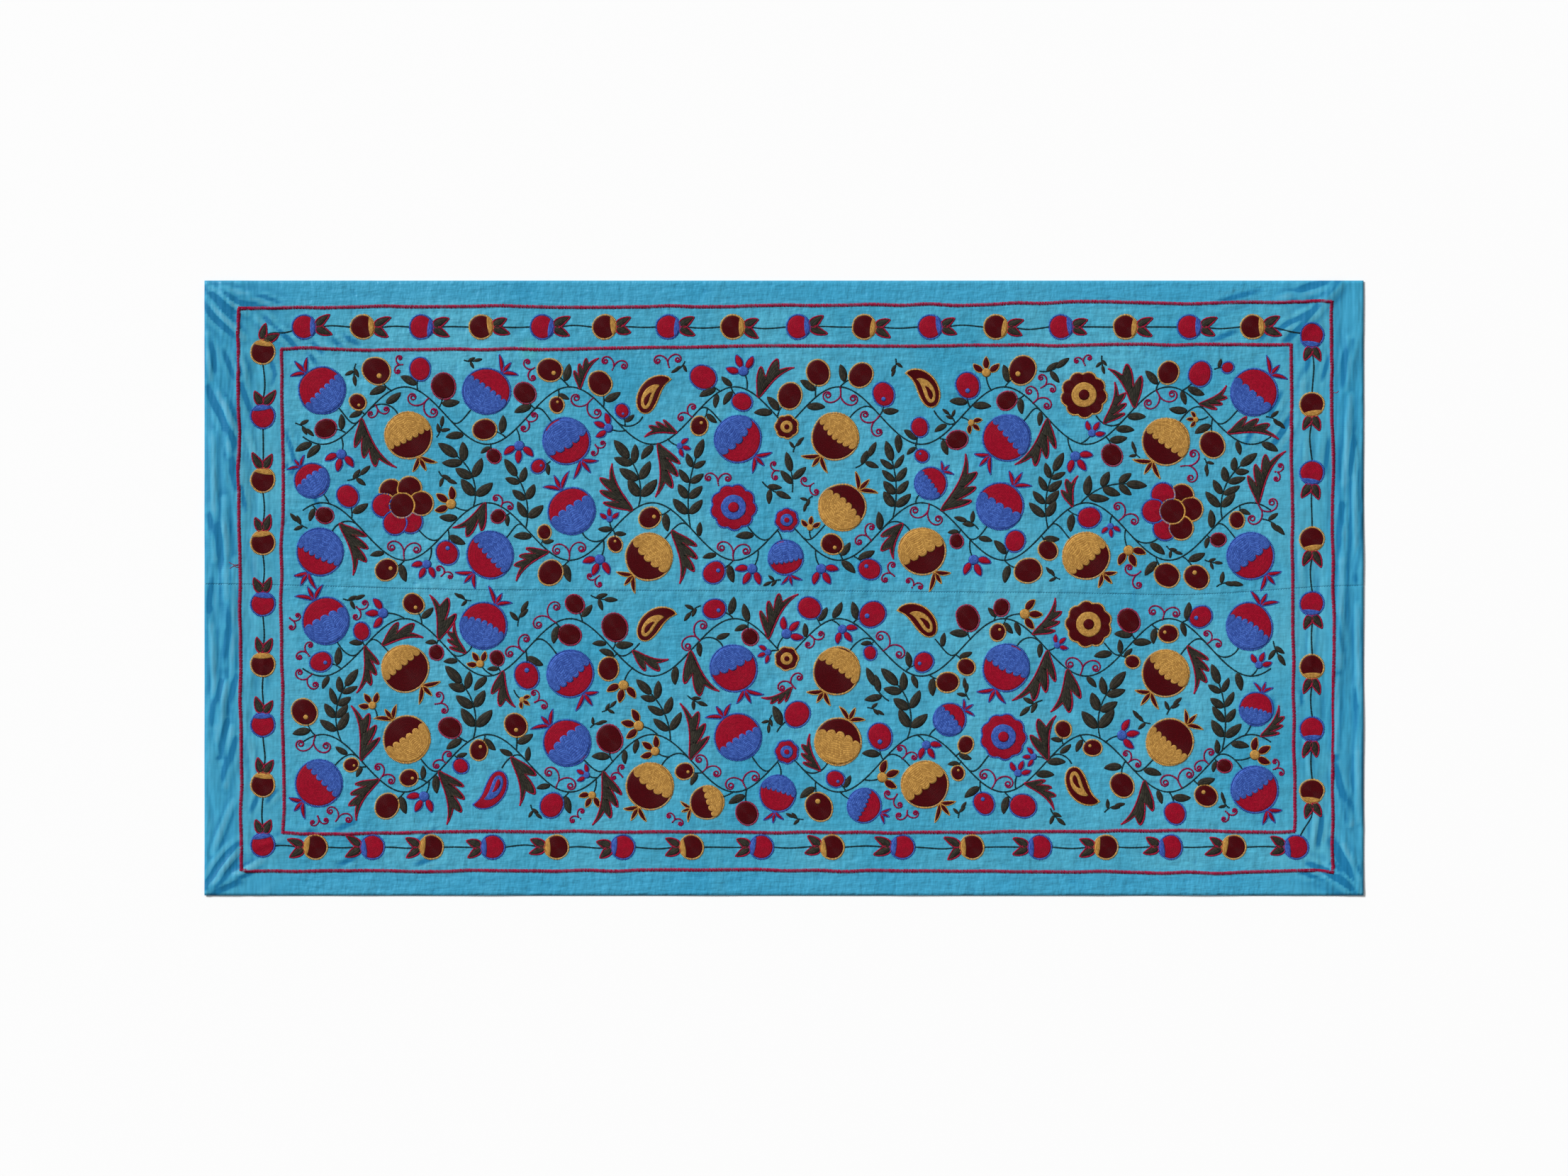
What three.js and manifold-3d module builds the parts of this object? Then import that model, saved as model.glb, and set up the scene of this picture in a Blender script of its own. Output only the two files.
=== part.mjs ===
// Suzani: an embroidered silk cloth, laid out flat.
//
// Two loom widths of turquoise silk are seamed edge to edge along the middle
// and worked with thick silk yarn. X runs along the cloth, Y up the design and
// +Z out of its face. The origin is in the middle of the cloth's underside.
// The cloth lies flat on z = 0 but for the soft folds at its sides and corners,
// where the whole sheet lifts. All sizes are in millimetres.
import * as THREE from "three";
import { mergeVertices } from "three/addons/utils/BufferGeometryUtils.js";
import Module from "manifold-3d";

const wasm = await Module();
wasm.setup();

// Driving dimensions of the cloth
const LENGTH = 2500;
const WIDTH = 1326;
const SHEET_THICK = 1.5;
const SEAM_GAP = 0.3;
const MOST_LIFT = 6;

// Driving dimensions of the raised yarn
const LINE_WIDE = 7;
const LINE_HIGH = 1.3;
const LINE_SHORT_OF_SEAM = 1.2;
const FRUIT_HIGH = 1.1;
const PAD_SLOPE = 2;
const YARN_ROOT = 1.0;
const LOWEST_ROOT = 0.3;
const BORDER_FRUIT_RADIUS = 25;
const FIELD_ROUND_RADIUS = 48;

// Steps of the mesh: fine in the margins, where the folds are, wider inwards.
// Between the two side zones the cloth is flat.
const SIDE_ZONE = 208;
const MARGIN_ZONE = 130;
const MARGIN_STEP = 10.8;
const BORDER_STEP = 19.5;
const HEM_ZONE = 128;
const HEM_STEP = 16;
const ROW_STEP = 50;
const SEAM_STEP = 150;
const ZONE_LAP = 2;

const table = (columns, rows) => {
  const names = columns.split(" ");
  return rows.map((row) => Object.fromEntries(names.map((name, i) => [name, row[i]])));
};

// Main folds. Each is a soft ridge from (x1, y1) to (x2, y2).
const FOLDS = table("x1 y1 x2 y2 wide high", [
  // fan of creases in the upper left corner
  [-1240, 644, -1158, 592, 24, 4.6],
  [-1248, 618, -1166, 540, 28, 5.2],
  [-1216, 650, -1074, 606, 22, 3.2],
  [-1140, 584, -1062, 526, 24, 2.2],
  [-1245, 548, -1236, 452, 20, 3.4],
  // long folds down the left margin
  [-1218, 420, -1184, 336, 26, 4.4],
  [-1203, 404, -1195, 262, 22, 4.0],
  [-1174, 510, -1156, 438, 22, 2.2],
  [-1232, 330, -1226, 60, 24, 3.6],
  [-1208, 190, -1200, -84, 28, 4.6],
  [-1186, 60, -1192, -190, 20, 3.0],
  [-1236, -60, -1222, -330, 24, 3.8],
  [-1204, -206, -1219, -356, 22, 4.0],
  [-1190, -300, -1203, -430, 22, 3.4],
  // fan of creases in the lower left corner
  [-1245, -654, -1178, -562, 26, 4.8],
  [-1244, -657, -1126, -588, 22, 4.0],
  [-1232, -570, -1190, -462, 24, 3.4],
  [-1154, -566, -1066, -534, 22, 1.8],
  // fan of creases in the upper right corner
  [1202, 659, 1160, 618, 26, 4.6],
  [1164, 612, 1086, 538, 28, 2.4],
  [1066, 626, 1134, 640, 24, 3.0],
  [1110, 590, 1066, 534, 24, 1.8],
  // long folds down the right margin
  [1219, 540, 1213, 432, 22, 3.8],
  [1222, 414, 1207, 190, 26, 4.8],
  [1229, 300, 1235, 30, 22, 3.8],
  [1206, 124, 1198, -170, 26, 4.4],
  [1236, -40, 1240, -250, 20, 3.2],
  [1194, -196, 1190, -350, 20, 3.2],
  [1236, -262, 1239, -500, 22, 3.6],
  [1195, -376, 1224, -508, 24, 4.4],
  // fan of creases in the lower right corner
  [1247, -656, 1184, -604, 24, 4.6],
  [1212, -655, 1136, -611, 22, 3.6],
  [1243, -640, 1206, -556, 24, 3.8],
  // streaks through the right border
  [1124, 480, 1116, 404, 20, 1.8],
  [1131, 336, 1122, 236, 24, 2.0],
  [1112, 104, 1118, -6, 20, 1.7],
  [1141, -56, 1134, -184, 22, 1.9],
  [1124, -300, 1132, -404, 22, 1.8],
  [1150, -466, 1140, -560, 24, 2.2],
  // streaks through the left border
  [-1160, 340, -1136, 262, 22, 1.8],
  [-1146, 120, -1138, 10, 24, 1.8],
  [-1120, -120, -1128, -230, 22, 1.7],
  [-1150, -330, -1140, -440, 22, 1.8],
]);

// The seam wanders a little: knots from the left edge to the right one
const SEAM_KNOTS = table("x y", [
  [-1250, 9],
  [-600, -4],
  [0, -6],
  [500, -9],
  [850, -14],
  [1250, 6],
]);

// Corners of the two worked frame lines, upper left first, clockwise
const OUTER_FRAME = table("x y", [
  [-1175, 603],
  [1181, 618],
  [1184, -613],
  [-1170, -609],
]);
const INNER_FRAME = table("x y", [
  [-1084, 515],
  [1094, 525],
  [1101, -525],
  [-1081, -528],
]);

// Rows of border fruit. Place k of a row lies at
// first + (last - first) t + bow sin(pi t) + skew sin(2 pi t), with t = k / steps.
const BORDER_ROWS = table("along level first last bow skew steps from to", [
  ["x", 563, -1035, 1147, -25, -14, 16, 0, 15],
  ["y", 1139, 545, -573, -20, -3, 8, 0, 7],
  ["x", -559, -1132, 1105, -35, -31, 16, 1, 16],
  ["y", -1124, 509, -554, -12, -2, 8, 0, 8],
]);

// Field of flowering vines. Each vine waves from the middle out to both sides,
// and each bay of a wave holds one flower or fruit. O marks a round one.
const VINES = table("level side bays", [
  [-375, 1, "OOOtOO"],
  [-125, -1, "OtOOOO"],
  [125, 1, "OOOOtO"],
  [375, -1, "OtOOOO"],
]);
const FIRST_BAY = 112;
const BAY_PITCH = 178;
const BAY_OFFSET = 50;

const MICRO = 1e-3;

function distanceToFold(x, y, fold) {
  const runX = fold.x2 - fold.x1;
  const runY = fold.y2 - fold.y1;
  const run = Math.hypot(runX, runY);
  const t = ((x - fold.x1) * runX + (y - fold.y1) * runY) / (run * run);
  const along = Math.min(Math.max(t, 0), 1);
  const away = Math.hypot(x - fold.x1 - along * runX, y - fold.y1 - along * runY);
  return { along, away };
}

// How far the folds lift the sheet at a point
function liftAt(x, y) {
  let sum = 0;
  for (const fold of FOLDS) {
    const { along, away } = distanceToFold(x, y, fold);
    const half = fold.wide / 2;
    if (away < half) {
      const taper = Math.sin(Math.PI * (0.12 + 0.76 * along));
      sum += fold.high * taper * 0.5 * (1 + Math.cos((Math.PI * away) / half));
    }
  }
  const lift = MOST_LIFT * (1 - Math.exp(-sum / MOST_LIFT));
  return lift < 0.05 ? 0 : lift;
}

function seamAt(x) {
  const right = Math.max(1, SEAM_KNOTS.findIndex((knot) => knot.x >= x));
  const a = SEAM_KNOTS[right - 1];
  const b = SEAM_KNOTS[right];
  const t = (x - a.x) / (b.x - a.x);
  return a.y + (b.y - a.y) * t * t * (3 - 2 * t);
}

function evenSteps(from, to, step) {
  const count = Math.round(Math.abs(to - from) / step);
  return Array.from({ length: count }, (_, i) => from + ((to - from) * i) / count);
}

// One closed solid from a height field: top and bottom skins and the rim
function gridSolid(columns, rows, pointAt) {
  const skin = columns * rows;
  const position = new Float32Array(skin * 2 * 3);
  for (let i = 0; i < columns; i++)
    for (let j = 0; j < rows; j++) {
      const { x, y, top, bottom } = pointAt(i, j);
      position.set([x, y, top], 3 * (i * rows + j));
      position.set([x, y, bottom], 3 * (skin + i * rows + j));
    }
  const faces = [];
  const quad = (a, b, c, d) => faces.push(a, b, c, a, c, d);
  const at = (i, j) => i * rows + j;
  for (let i = 0; i + 1 < columns; i++)
    for (let j = 0; j + 1 < rows; j++) {
      quad(at(i, j), at(i + 1, j), at(i + 1, j + 1), at(i, j + 1));
      quad(skin + at(i, j), skin + at(i, j + 1), skin + at(i + 1, j + 1), skin + at(i + 1, j));
    }
  const rim = [];
  for (let i = 0; i + 1 < columns; i++) rim.push(at(i, 0));
  for (let j = 0; j + 1 < rows; j++) rim.push(at(columns - 1, j));
  for (let i = columns - 1; i > 0; i--) rim.push(at(i, rows - 1));
  for (let j = rows - 1; j > 0; j--) rim.push(at(0, j));
  rim.forEach((a, i) => {
    const b = rim[(i + 1) % rim.length];
    quad(a, skin + a, skin + b, b);
  });
  const geometry = new THREE.BufferGeometry();
  geometry.setAttribute("position", new THREE.BufferAttribute(position, 3));
  geometry.setIndex(faces);
  return solidOf(geometry);
}

function solidOf(geometry) {
  const plain = geometry.clone();
  plain.deleteAttribute("normal");
  plain.deleteAttribute("uv");
  const merged = mergeVertices(plain, MICRO);
  return new wasm.Manifold(
    new wasm.Mesh({
      numProp: 3,
      vertProperties: merged.getAttribute("position").array,
      triVerts: new Uint32Array(merged.index.array),
    }),
  );
}

function geometryOf(solid) {
  const { vertProperties, triVerts } = solid.getMesh();
  const indexed = new THREE.BufferGeometry();
  indexed.setAttribute("position", new THREE.BufferAttribute(vertProperties, 3));
  indexed.setIndex(new THREE.BufferAttribute(triVerts, 1));
  const faceted = indexed.toNonIndexed();
  faceted.computeVertexNormals();
  return faceted;
}

// Distances from a side edge of the cloth to the columns of its zone's mesh
const ZONE_COLUMNS = [
  ...evenSteps(0, MARGIN_ZONE, MARGIN_STEP),
  ...evenSteps(MARGIN_ZONE, SIDE_ZONE, BORDER_STEP),
  SIDE_ZONE,
];

// Rows beyond the seam, out to the hem
const ROWS = [
  0,
  ...evenSteps(ROW_STEP, WIDTH / 2 - HEM_ZONE, ROW_STEP),
  ...evenSteps(WIDTH / 2 - HEM_ZONE, WIDTH / 2, HEM_STEP),
  WIDTH / 2,
];

// A stretch of one width of cloth. Side is 1 above the seam and -1 below it.
function sheetSolid(side, columns, rows) {
  const ordered = side > 0 ? rows : [...rows].reverse();
  return gridSolid(columns.length, ordered.length, (i, j) => {
    const x = columns[i];
    const y = side * ordered[j] || seamAt(x) + (side * SEAM_GAP) / 2;
    const lift = liftAt(x, y);
    return { x, y, top: lift + SHEET_THICK, bottom: lift };
  });
}

// One width of cloth: a folded zone at each side and a flat middle between them
function widthSolid(side) {
  const left = ZONE_COLUMNS.map((step) => step - LENGTH / 2);
  const right = ZONE_COLUMNS.map((step) => LENGTH / 2 - step).reverse();
  const reach = LENGTH / 2 - SIDE_ZONE + ZONE_LAP;
  const middle = [...evenSteps(-reach, reach, SEAM_STEP), reach];
  return sheetSolid(side, left, ROWS)
    .add(sheetSolid(side, middle, [0, WIDTH / 2]))
    .add(sheetSolid(side, right, ROWS));
}

// The yarn is rooted in the sheet: the underside of a raised form
function rootUnder(lift) {
  return Math.max(LOWEST_ROOT, lift - YARN_ROOT);
}

// A raised bar of yarn along a straight stretch of a frame line
function lineSolid(a, b) {
  const run = Math.hypot(b.x - a.x, b.y - a.y);
  const acrossX = (-(b.y - a.y) / run) * (LINE_WIDE / 2);
  const acrossY = ((b.x - a.x) / run) * (LINE_WIDE / 2);
  const steps = [];
  for (let s = 0; s < run; ) {
    steps.push(s / run);
    const nearSide = Math.min(s, run - s) < SIDE_ZONE - MARGIN_ZONE;
    const upright = Math.abs(b.y - a.y) > Math.abs(b.x - a.x);
    s += upright ? ROW_STEP : nearSide ? BORDER_STEP : SEAM_STEP;
  }
  steps.push(1);
  return gridSolid(steps.length, 2, (i, j) => {
    const middleX = a.x + (b.x - a.x) * steps[i];
    const middleY = a.y + (b.y - a.y) * steps[i];
    const hand = j === 0 ? -1 : 1;
    const lift = liftAt(middleX, middleY);
    return {
      x: middleX + hand * acrossX,
      y: middleY + hand * acrossY,
      top: lift + SHEET_THICK + LINE_HIGH,
      bottom: rootUnder(lift),
    };
  });
}

// A round pad of worked yarn: a short lathed drum bent to the folds under it
function roundSolid({ x, y }, radius, sides) {
  const high = SHEET_THICK + FRUIT_HIGH;
  const profile = [
    new THREE.Vector2(0, 0),
    new THREE.Vector2(radius, 0),
    new THREE.Vector2(radius - PAD_SLOPE, high),
    new THREE.Vector2(0, high),
  ];
  const drum = new THREE.LatheGeometry(profile, sides);
  drum.rotateX(Math.PI / 2);
  drum.translate(x, y, 0);
  const position = drum.getAttribute("position");
  for (let i = 0; i < position.count; i++) {
    const lift = liftAt(position.getX(i), position.getY(i));
    const above = position.getZ(i);
    position.setZ(i, above > 0 ? above + lift : rootUnder(lift));
  }
  return solidOf(drum);
}

function frameSolids(corners, side) {
  const seamEnd = (from, to) => {
    const middle = seamAt(from.x) + side * LINE_SHORT_OF_SEAM;
    const t = (middle - from.y) / (to.y - from.y);
    return { x: from.x + (to.x - from.x) * t, y: middle };
  };
  const [upperLeft, upperRight, lowerRight, lowerLeft] = corners;
  const left = side > 0 ? upperLeft : lowerLeft;
  const right = side > 0 ? upperRight : lowerRight;
  const farLeft = side > 0 ? lowerLeft : upperLeft;
  const farRight = side > 0 ? lowerRight : upperRight;
  return [
    lineSolid(left, right),
    lineSolid(left, seamEnd(left, farLeft)),
    lineSolid(right, seamEnd(right, farRight)),
  ];
}

function borderPlaces() {
  const places = [];
  for (const row of BORDER_ROWS)
    for (let k = row.from; k <= row.to; k++) {
      const t = k / row.steps;
      const wave = row.bow * Math.sin(Math.PI * t) + row.skew * Math.sin(2 * Math.PI * t);
      const at = row.first + (row.last - row.first) * t + wave;
      places.push(row.along === "x" ? { x: at, y: row.level } : { x: row.level, y: at });
    }
  return places;
}

// Every bay's flower is set a little off its even place, as by hand
function fieldPlaces() {
  const places = [];
  VINES.forEach((vine, row) => {
    [...vine.bays].forEach((kind, bay) => {
      for (const half of [-1, 1]) {
        const hand = row * 12 + bay * 2 + (half > 0 ? 1 : 0);
        const up = vine.side * (bay % 2 ? -1 : 1);
        places.push({
          kind,
          x: half * (FIRST_BAY + BAY_PITCH * bay) + 8 * Math.sin(2.3 * hand + 1) + 6,
          y: vine.level + up * BAY_OFFSET + 7 * Math.sin(3.7 * hand + 2) - 3,
        });
      }
    });
  });
  return places;
}

const rounds = [
  ...borderPlaces().map((place) => ({ ...place, radius: BORDER_FRUIT_RADIUS, sides: 10 })),
  ...fieldPlaces()
    .filter((place) => place.kind === "O")
    .map((place) => ({ ...place, radius: FIELD_ROUND_RADIUS, sides: 14 })),
];

function panel(name, side) {
  const frames = [...frameSolids(OUTER_FRAME, side), ...frameSolids(INNER_FRAME, side)];
  const pads = rounds
    .filter((round) => side * (round.y - seamAt(round.x)) > 0)
    .map((round) => roundSolid(round, round.radius, round.sides));
  const solid = [...frames, ...pads].reduce((whole, piece) => whole.add(piece), widthSolid(side));
  const silk = new THREE.MeshStandardMaterial({ color: 0x4a9ebb, roughness: 0.55, metalness: 0 });
  const mesh = new THREE.Mesh(geometryOf(solid), silk);
  mesh.name = name;
  return mesh;
}

const suzani = new THREE.Group();
suzani.name = "suzani";
suzani.add(panel("panel_upper", 1), panel("panel_lower", -1));

export default suzani;
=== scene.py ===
# Suzani: turquoise silk in two loom widths, worked all over in thick silk yarn, and
# laid flat with its face up. Blender units are metres; the shapes below are worked
# out in millimetres, with X along the cloth and Y up the design.
import bpy
import bmesh
import math
import numpy as np
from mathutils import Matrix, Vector


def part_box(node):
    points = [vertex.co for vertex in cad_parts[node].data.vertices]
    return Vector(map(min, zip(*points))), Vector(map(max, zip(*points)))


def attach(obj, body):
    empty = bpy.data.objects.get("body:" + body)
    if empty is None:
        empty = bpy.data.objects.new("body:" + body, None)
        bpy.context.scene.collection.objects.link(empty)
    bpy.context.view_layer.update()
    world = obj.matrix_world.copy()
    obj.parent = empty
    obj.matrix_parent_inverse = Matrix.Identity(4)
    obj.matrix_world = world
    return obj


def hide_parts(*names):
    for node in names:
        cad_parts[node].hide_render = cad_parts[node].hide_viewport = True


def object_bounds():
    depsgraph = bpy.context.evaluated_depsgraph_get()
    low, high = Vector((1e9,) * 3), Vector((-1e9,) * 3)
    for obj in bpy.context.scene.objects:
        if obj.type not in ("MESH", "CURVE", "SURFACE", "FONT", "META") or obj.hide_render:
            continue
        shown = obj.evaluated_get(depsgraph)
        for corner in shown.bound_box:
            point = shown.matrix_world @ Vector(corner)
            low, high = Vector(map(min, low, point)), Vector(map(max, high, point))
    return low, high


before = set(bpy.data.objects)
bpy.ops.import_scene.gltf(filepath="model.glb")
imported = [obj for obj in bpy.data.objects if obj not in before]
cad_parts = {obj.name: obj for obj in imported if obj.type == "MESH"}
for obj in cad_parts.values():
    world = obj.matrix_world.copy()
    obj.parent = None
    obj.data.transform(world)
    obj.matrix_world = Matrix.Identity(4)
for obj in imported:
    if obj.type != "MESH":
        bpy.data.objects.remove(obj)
cad_box = [[float(value) for value in corner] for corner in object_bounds()]

# Camera, light and floor. The photograph looks straight down on the middle of the
# cloth with a long lens, on plain white, in soft light from the upper left.
PHOTO_WIDTH_PX = 2212
CLOTH_LENGTH_PX = 1634.5
LENS_MM = 85.0
SENSOR_MM = 36.0
cloth_length_m = cad_box[1][0] - cad_box[0][0]
view_width_m = cloth_length_m * PHOTO_WIDTH_PX / CLOTH_LENGTH_PX

camera_data = bpy.data.cameras.new("camera")
camera_data.lens = LENS_MM
camera_data.sensor_width = SENSOR_MM
camera_data.clip_end = 100.0
camera = bpy.data.objects.new("camera", camera_data)
camera.location = (0.0, 0.0, view_width_m * LENS_MM / SENSOR_MM)
bpy.context.scene.collection.objects.link(camera)
bpy.context.scene.camera = camera

SUN_FROM = Vector((-0.66, 0.60, 0.58))
SUN_STRENGTH = 4.25
SUN_SPREAD_DEG = 16.0
SKY_STRENGTH = 0.27
sun_data = bpy.data.lights.new("key", "SUN")
sun_data.energy = SUN_STRENGTH
sun_data.angle = math.radians(SUN_SPREAD_DEG)
sun = bpy.data.objects.new("key", sun_data)
sun.rotation_euler = SUN_FROM.to_track_quat("Z", "Y").to_euler()
bpy.context.scene.collection.objects.link(sun)

sky = bpy.data.worlds.new("studio")
sky.use_nodes = True
sky.node_tree.nodes["Background"].inputs["Color"].default_value = (1.0, 1.0, 1.0, 1.0)
sky.node_tree.nodes["Background"].inputs["Strength"].default_value = SKY_STRENGTH
bpy.context.scene.world = sky
bpy.context.scene.view_settings.view_transform = "Standard"

FLOOR_HALF_M = 14.0
FLOOR_DROP_M = 0.0006
floor_mesh = bpy.data.meshes.new("floor")
floor_mesh.from_pydata(
    [(x * FLOOR_HALF_M, y * FLOOR_HALF_M, -FLOOR_DROP_M) for x, y in ((-1, -1), (1, -1), (1, 1), (-1, 1))],
    [],
    [(0, 1, 2, 3)],
)
floor = bpy.data.objects.new("floor", floor_mesh)
bpy.context.scene.collection.objects.link(floor)
floor_paint = bpy.data.materials.new("pale_floor")
floor_paint.use_nodes = True
floor_paint.node_tree.nodes["Principled BSDF"].inputs["Base Color"].default_value = (0.97, 0.97, 0.97, 1.0)
floor_paint.node_tree.nodes["Principled BSDF"].inputs["Roughness"].default_value = 0.9
floor_mesh.materials.append(floor_paint)

# The ground: two loom widths of plain woven silk, hemmed and sewn edge to edge.
# Each width is one thin closed sheet lying on the surface, lifted into soft folds
# at the sides and corners, as the photograph shows, and pulled in along the seam.
MM = 0.001
HALF_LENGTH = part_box("panel_upper")[1][0] / MM
HALF_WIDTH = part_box("panel_upper")[1][1] / MM
SHEET_THICK = 1.5
SEAM_GAP = 0.3
MOST_LIFT = 6.0

# Main folds, soft ridges: x1, y1, x2, y2, wide, high
FOLDS = [
    # fan of creases in the upper left corner
    (-1240, 644, -1158, 592, 24, 4.6),
    (-1248, 618, -1166, 540, 28, 5.2),
    (-1216, 650, -1074, 606, 22, 3.2),
    (-1140, 584, -1062, 526, 24, 2.2),
    (-1245, 548, -1236, 452, 20, 3.4),
    # long folds down the left margin
    (-1218, 420, -1184, 336, 26, 4.4),
    (-1203, 404, -1195, 262, 22, 4.0),
    (-1174, 510, -1156, 438, 22, 2.2),
    (-1232, 330, -1226, 60, 24, 3.6),
    (-1208, 190, -1200, -84, 28, 4.6),
    (-1186, 60, -1192, -190, 20, 3.0),
    (-1236, -60, -1222, -330, 24, 3.8),
    (-1204, -206, -1219, -356, 22, 4.0),
    (-1190, -300, -1203, -430, 22, 3.4),
    # fan of creases in the lower left corner
    (-1245, -654, -1178, -562, 26, 4.8),
    (-1244, -657, -1126, -588, 22, 4.0),
    (-1232, -570, -1190, -462, 24, 3.4),
    (-1154, -566, -1066, -534, 22, 1.8),
    # fan of creases in the upper right corner
    (1202, 659, 1160, 618, 26, 4.6),
    (1164, 612, 1086, 538, 28, 2.4),
    (1066, 626, 1134, 640, 24, 3.0),
    (1110, 590, 1066, 534, 24, 1.8),
    # long folds down the right margin
    (1219, 540, 1213, 432, 22, 3.8),
    (1222, 414, 1207, 190, 26, 4.8),
    (1229, 300, 1235, 30, 22, 3.8),
    (1206, 124, 1198, -170, 26, 4.4),
    (1236, -40, 1240, -250, 20, 3.2),
    (1194, -196, 1190, -350, 20, 3.2),
    (1236, -262, 1239, -500, 22, 3.6),
    (1195, -376, 1224, -508, 24, 4.4),
    # fan of creases in the lower right corner
    (1247, -656, 1184, -604, 24, 4.6),
    (1212, -655, 1136, -611, 22, 3.6),
    (1243, -640, 1206, -556, 24, 3.8),
    # streaks through the right border
    (1124, 480, 1116, 404, 20, 1.8),
    (1131, 336, 1122, 236, 24, 2.0),
    (1112, 104, 1118, -6, 20, 1.7),
    (1141, -56, 1134, -184, 22, 1.9),
    (1124, -300, 1132, -404, 22, 1.8),
    (1150, -466, 1140, -560, 24, 2.2),
    # streaks through the left border
    (-1160, 340, -1136, 262, 22, 1.8),
    (-1146, 120, -1138, 10, 24, 1.8),
    (-1120, -120, -1128, -230, 22, 1.7),
    (-1150, -330, -1140, -440, 22, 1.8),
]
# Creases, soft troughs with a low ridge on either side: wide, high, then points
CREASES = [
    # upper left corner
    (8, 2.4, (-1247, 646), (-1206, 617), (-1184, 600)),
    (7, 1.6, (-1229, 638), (-1171, 614), (-1138, 611)),
    (7, 1.8, (-1166, 633), (-1119, 624), (-1070, 606)),
    (9, 2.8, (-1247, 618), (-1229, 588), (-1206, 566), (-1186, 551)),
    (9, 2.0, (-1243, 540), (-1232, 508), (-1230, 470)),
    (8, 2.4, (-1096, 557), (-1068, 536), (-1050, 516)),
    (9, 1.4, (-1119, 582), (-1102, 562)),
    (9, 1.3, (-1018, 532), (-996, 508)),
    (9, 1.2, (-976, 538), (-956, 522)),
    (9, 1.3, (-951, 543), (-918, 526)),
    (9, 1.2, (-1024, 508), (-1008, 483)),
    (7, 1.6, (-1180, 494), (-1171, 462)),
    (8, 1.8, (-1171, 441), (-1156, 398), (-1148, 372)),
    (11, 2.8, (-1243, 432), (-1229, 397), (-1213, 372), (-1199, 341), (-1187, 306)),
    (8, 1.8, (-1208, 512), (-1192, 474), (-1186, 452)),
    (7, 1.4, (-1111, 509), (-1099, 462), (-1106, 440)),
    (7, 1.4, (-1078, 342), (-1064, 300), (-1054, 249)),
    # left margin
    (11, 2.6, (-1196, 292), (-1185, 254), (-1179, 214)),
    (7, 1.6, (-1170, 220), (-1161, 168)),
    (13, 2.8, (-1236, 156), (-1219, 104), (-1215, 72), (-1207, 48)),
    (9, 1.7, (-1234, 22), (-1240, -30), (-1236, -74)),
    (11, 2.0, (-1202, -30), (-1196, -92), (-1206, -150)),
    (9, 2.2, (-1214, -206), (-1227, -248), (-1231, -290)),
    (8, 1.8, (-1181, -190), (-1190, -240)),
    (7, 1.4, (-1079, 266), (-1056, 242)),
    (8, 1.6, (-1018, 205), (-995, 160), (-984, 143)),
    # lower left corner
    (9, 2.2, (-1205, -292), (-1213, -328), (-1217, -366)),
    (10, 2.4, (-1187, -328), (-1197, -369), (-1208, -408)),
    (10, 2.8, (-1246, -648), (-1222, -606), (-1200, -577), (-1176, -554)),
    (7, 2.0, (-1243, -652), (-1193, -628), (-1149, -614)),
    (9, 1.5, (-1238, -657), (-1172, -635)),
    (7, 1.5, (-1092, -436), (-1114, -462)),
    (9, 1.3, (-1134, -449), (-1152, -484)),
    (9, 1.3, (-1014, -520), (-1043, -538)),
    (9, 1.2, (-924, -501), (-970, -522)),
    (9, 1.2, (-918, -575), (-960, -596)),
    (7, 1.3, (-753, -520), (-805, -554)),
    (9, 1.2, (-744, -575), (-799, -596)),
    # upper right corner
    (10, 2.4, (1171, 661), (1133, 648), (1096, 631)),
    (9, 2.2, (1199, 660), (1183, 641), (1165, 622)),
    (9, 2.8, (1158, 612), (1127, 582), (1084, 535)),
    (8, 2.0, (1129, 595), (1086, 570), (1066, 557)),
    (9, 1.4, (1051, 565), (1029, 534)),
    (9, 1.2, (1029, 642), (953, 621), (924, 610)),
    (9, 1.3, (978, 553), (921, 531)),
    (8, 1.7, (1075, 424), (1053, 384), (1046, 367)),
    (9, 2.2, (1093, 374), (1074, 339), (1054, 308)),
    (9, 1.4, (1131, 498), (1120, 456)),
    (7, 1.6, (1175, 501), (1160, 450)),
    (9, 1.3, (1013, 346), (996, 309)),
    # right margin
    (10, 2.4, (1221, 534), (1210, 487), (1207, 438)),
    (8, 1.7, (1175, 327), (1168, 250)),
    (9, 1.9, (1229, 318), (1222, 250)),
    (9, 1.8, (1206, 214), (1199, 130), (1203, 70)),
    (8, 1.5, (1238, 90), (1233, 10)),
    (9, 1.8, (1196, -60), (1201, -140)),
    (8, 1.6, (1234, -223), (1238, -347)),
    (10, 2.6, (1191, -366), (1204, -424), (1217, -466), (1219, -500)),
    # lower right corner
    (9, 2.6, (1236, -648), (1207, -625), (1185, -597)),
    (8, 2.2, (1223, -648), (1175, -614), (1131, -592)),
    (7, 1.8, (1211, -653), (1151, -620), (1113, -611)),
    (14, 2.6, (1182, -546), (1204, -584), (1229, -614)),
    (7, 1.4, (1115, -221), (1119, -255)),
    (8, 1.7, (1160, -493), (1153, -556)),
    (9, 1.3, (1053, -239), (1060, -278)),
    (7, 1.5, (1011, -394), (1037, -419)),
    (9, 1.3, (1011, -459), (1037, -484)),
]
CREASE_SWAY = 5.0
SWAY_CELL = 85
# Shape of a crease across its run, in parts of its width
RIDGE_AWAY = 1.3
RIDGE_WIDE = 0.85
RIDGE_SHARES = (0.8, 0.5)
TROUGH_WIDE = 0.7
# The seam wanders a little: x, y
SEAM_KNOTS = [(-1250, 9), (-600, -4), (0, -6), (500, -9), (850, -14), (1250, 6)]


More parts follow.
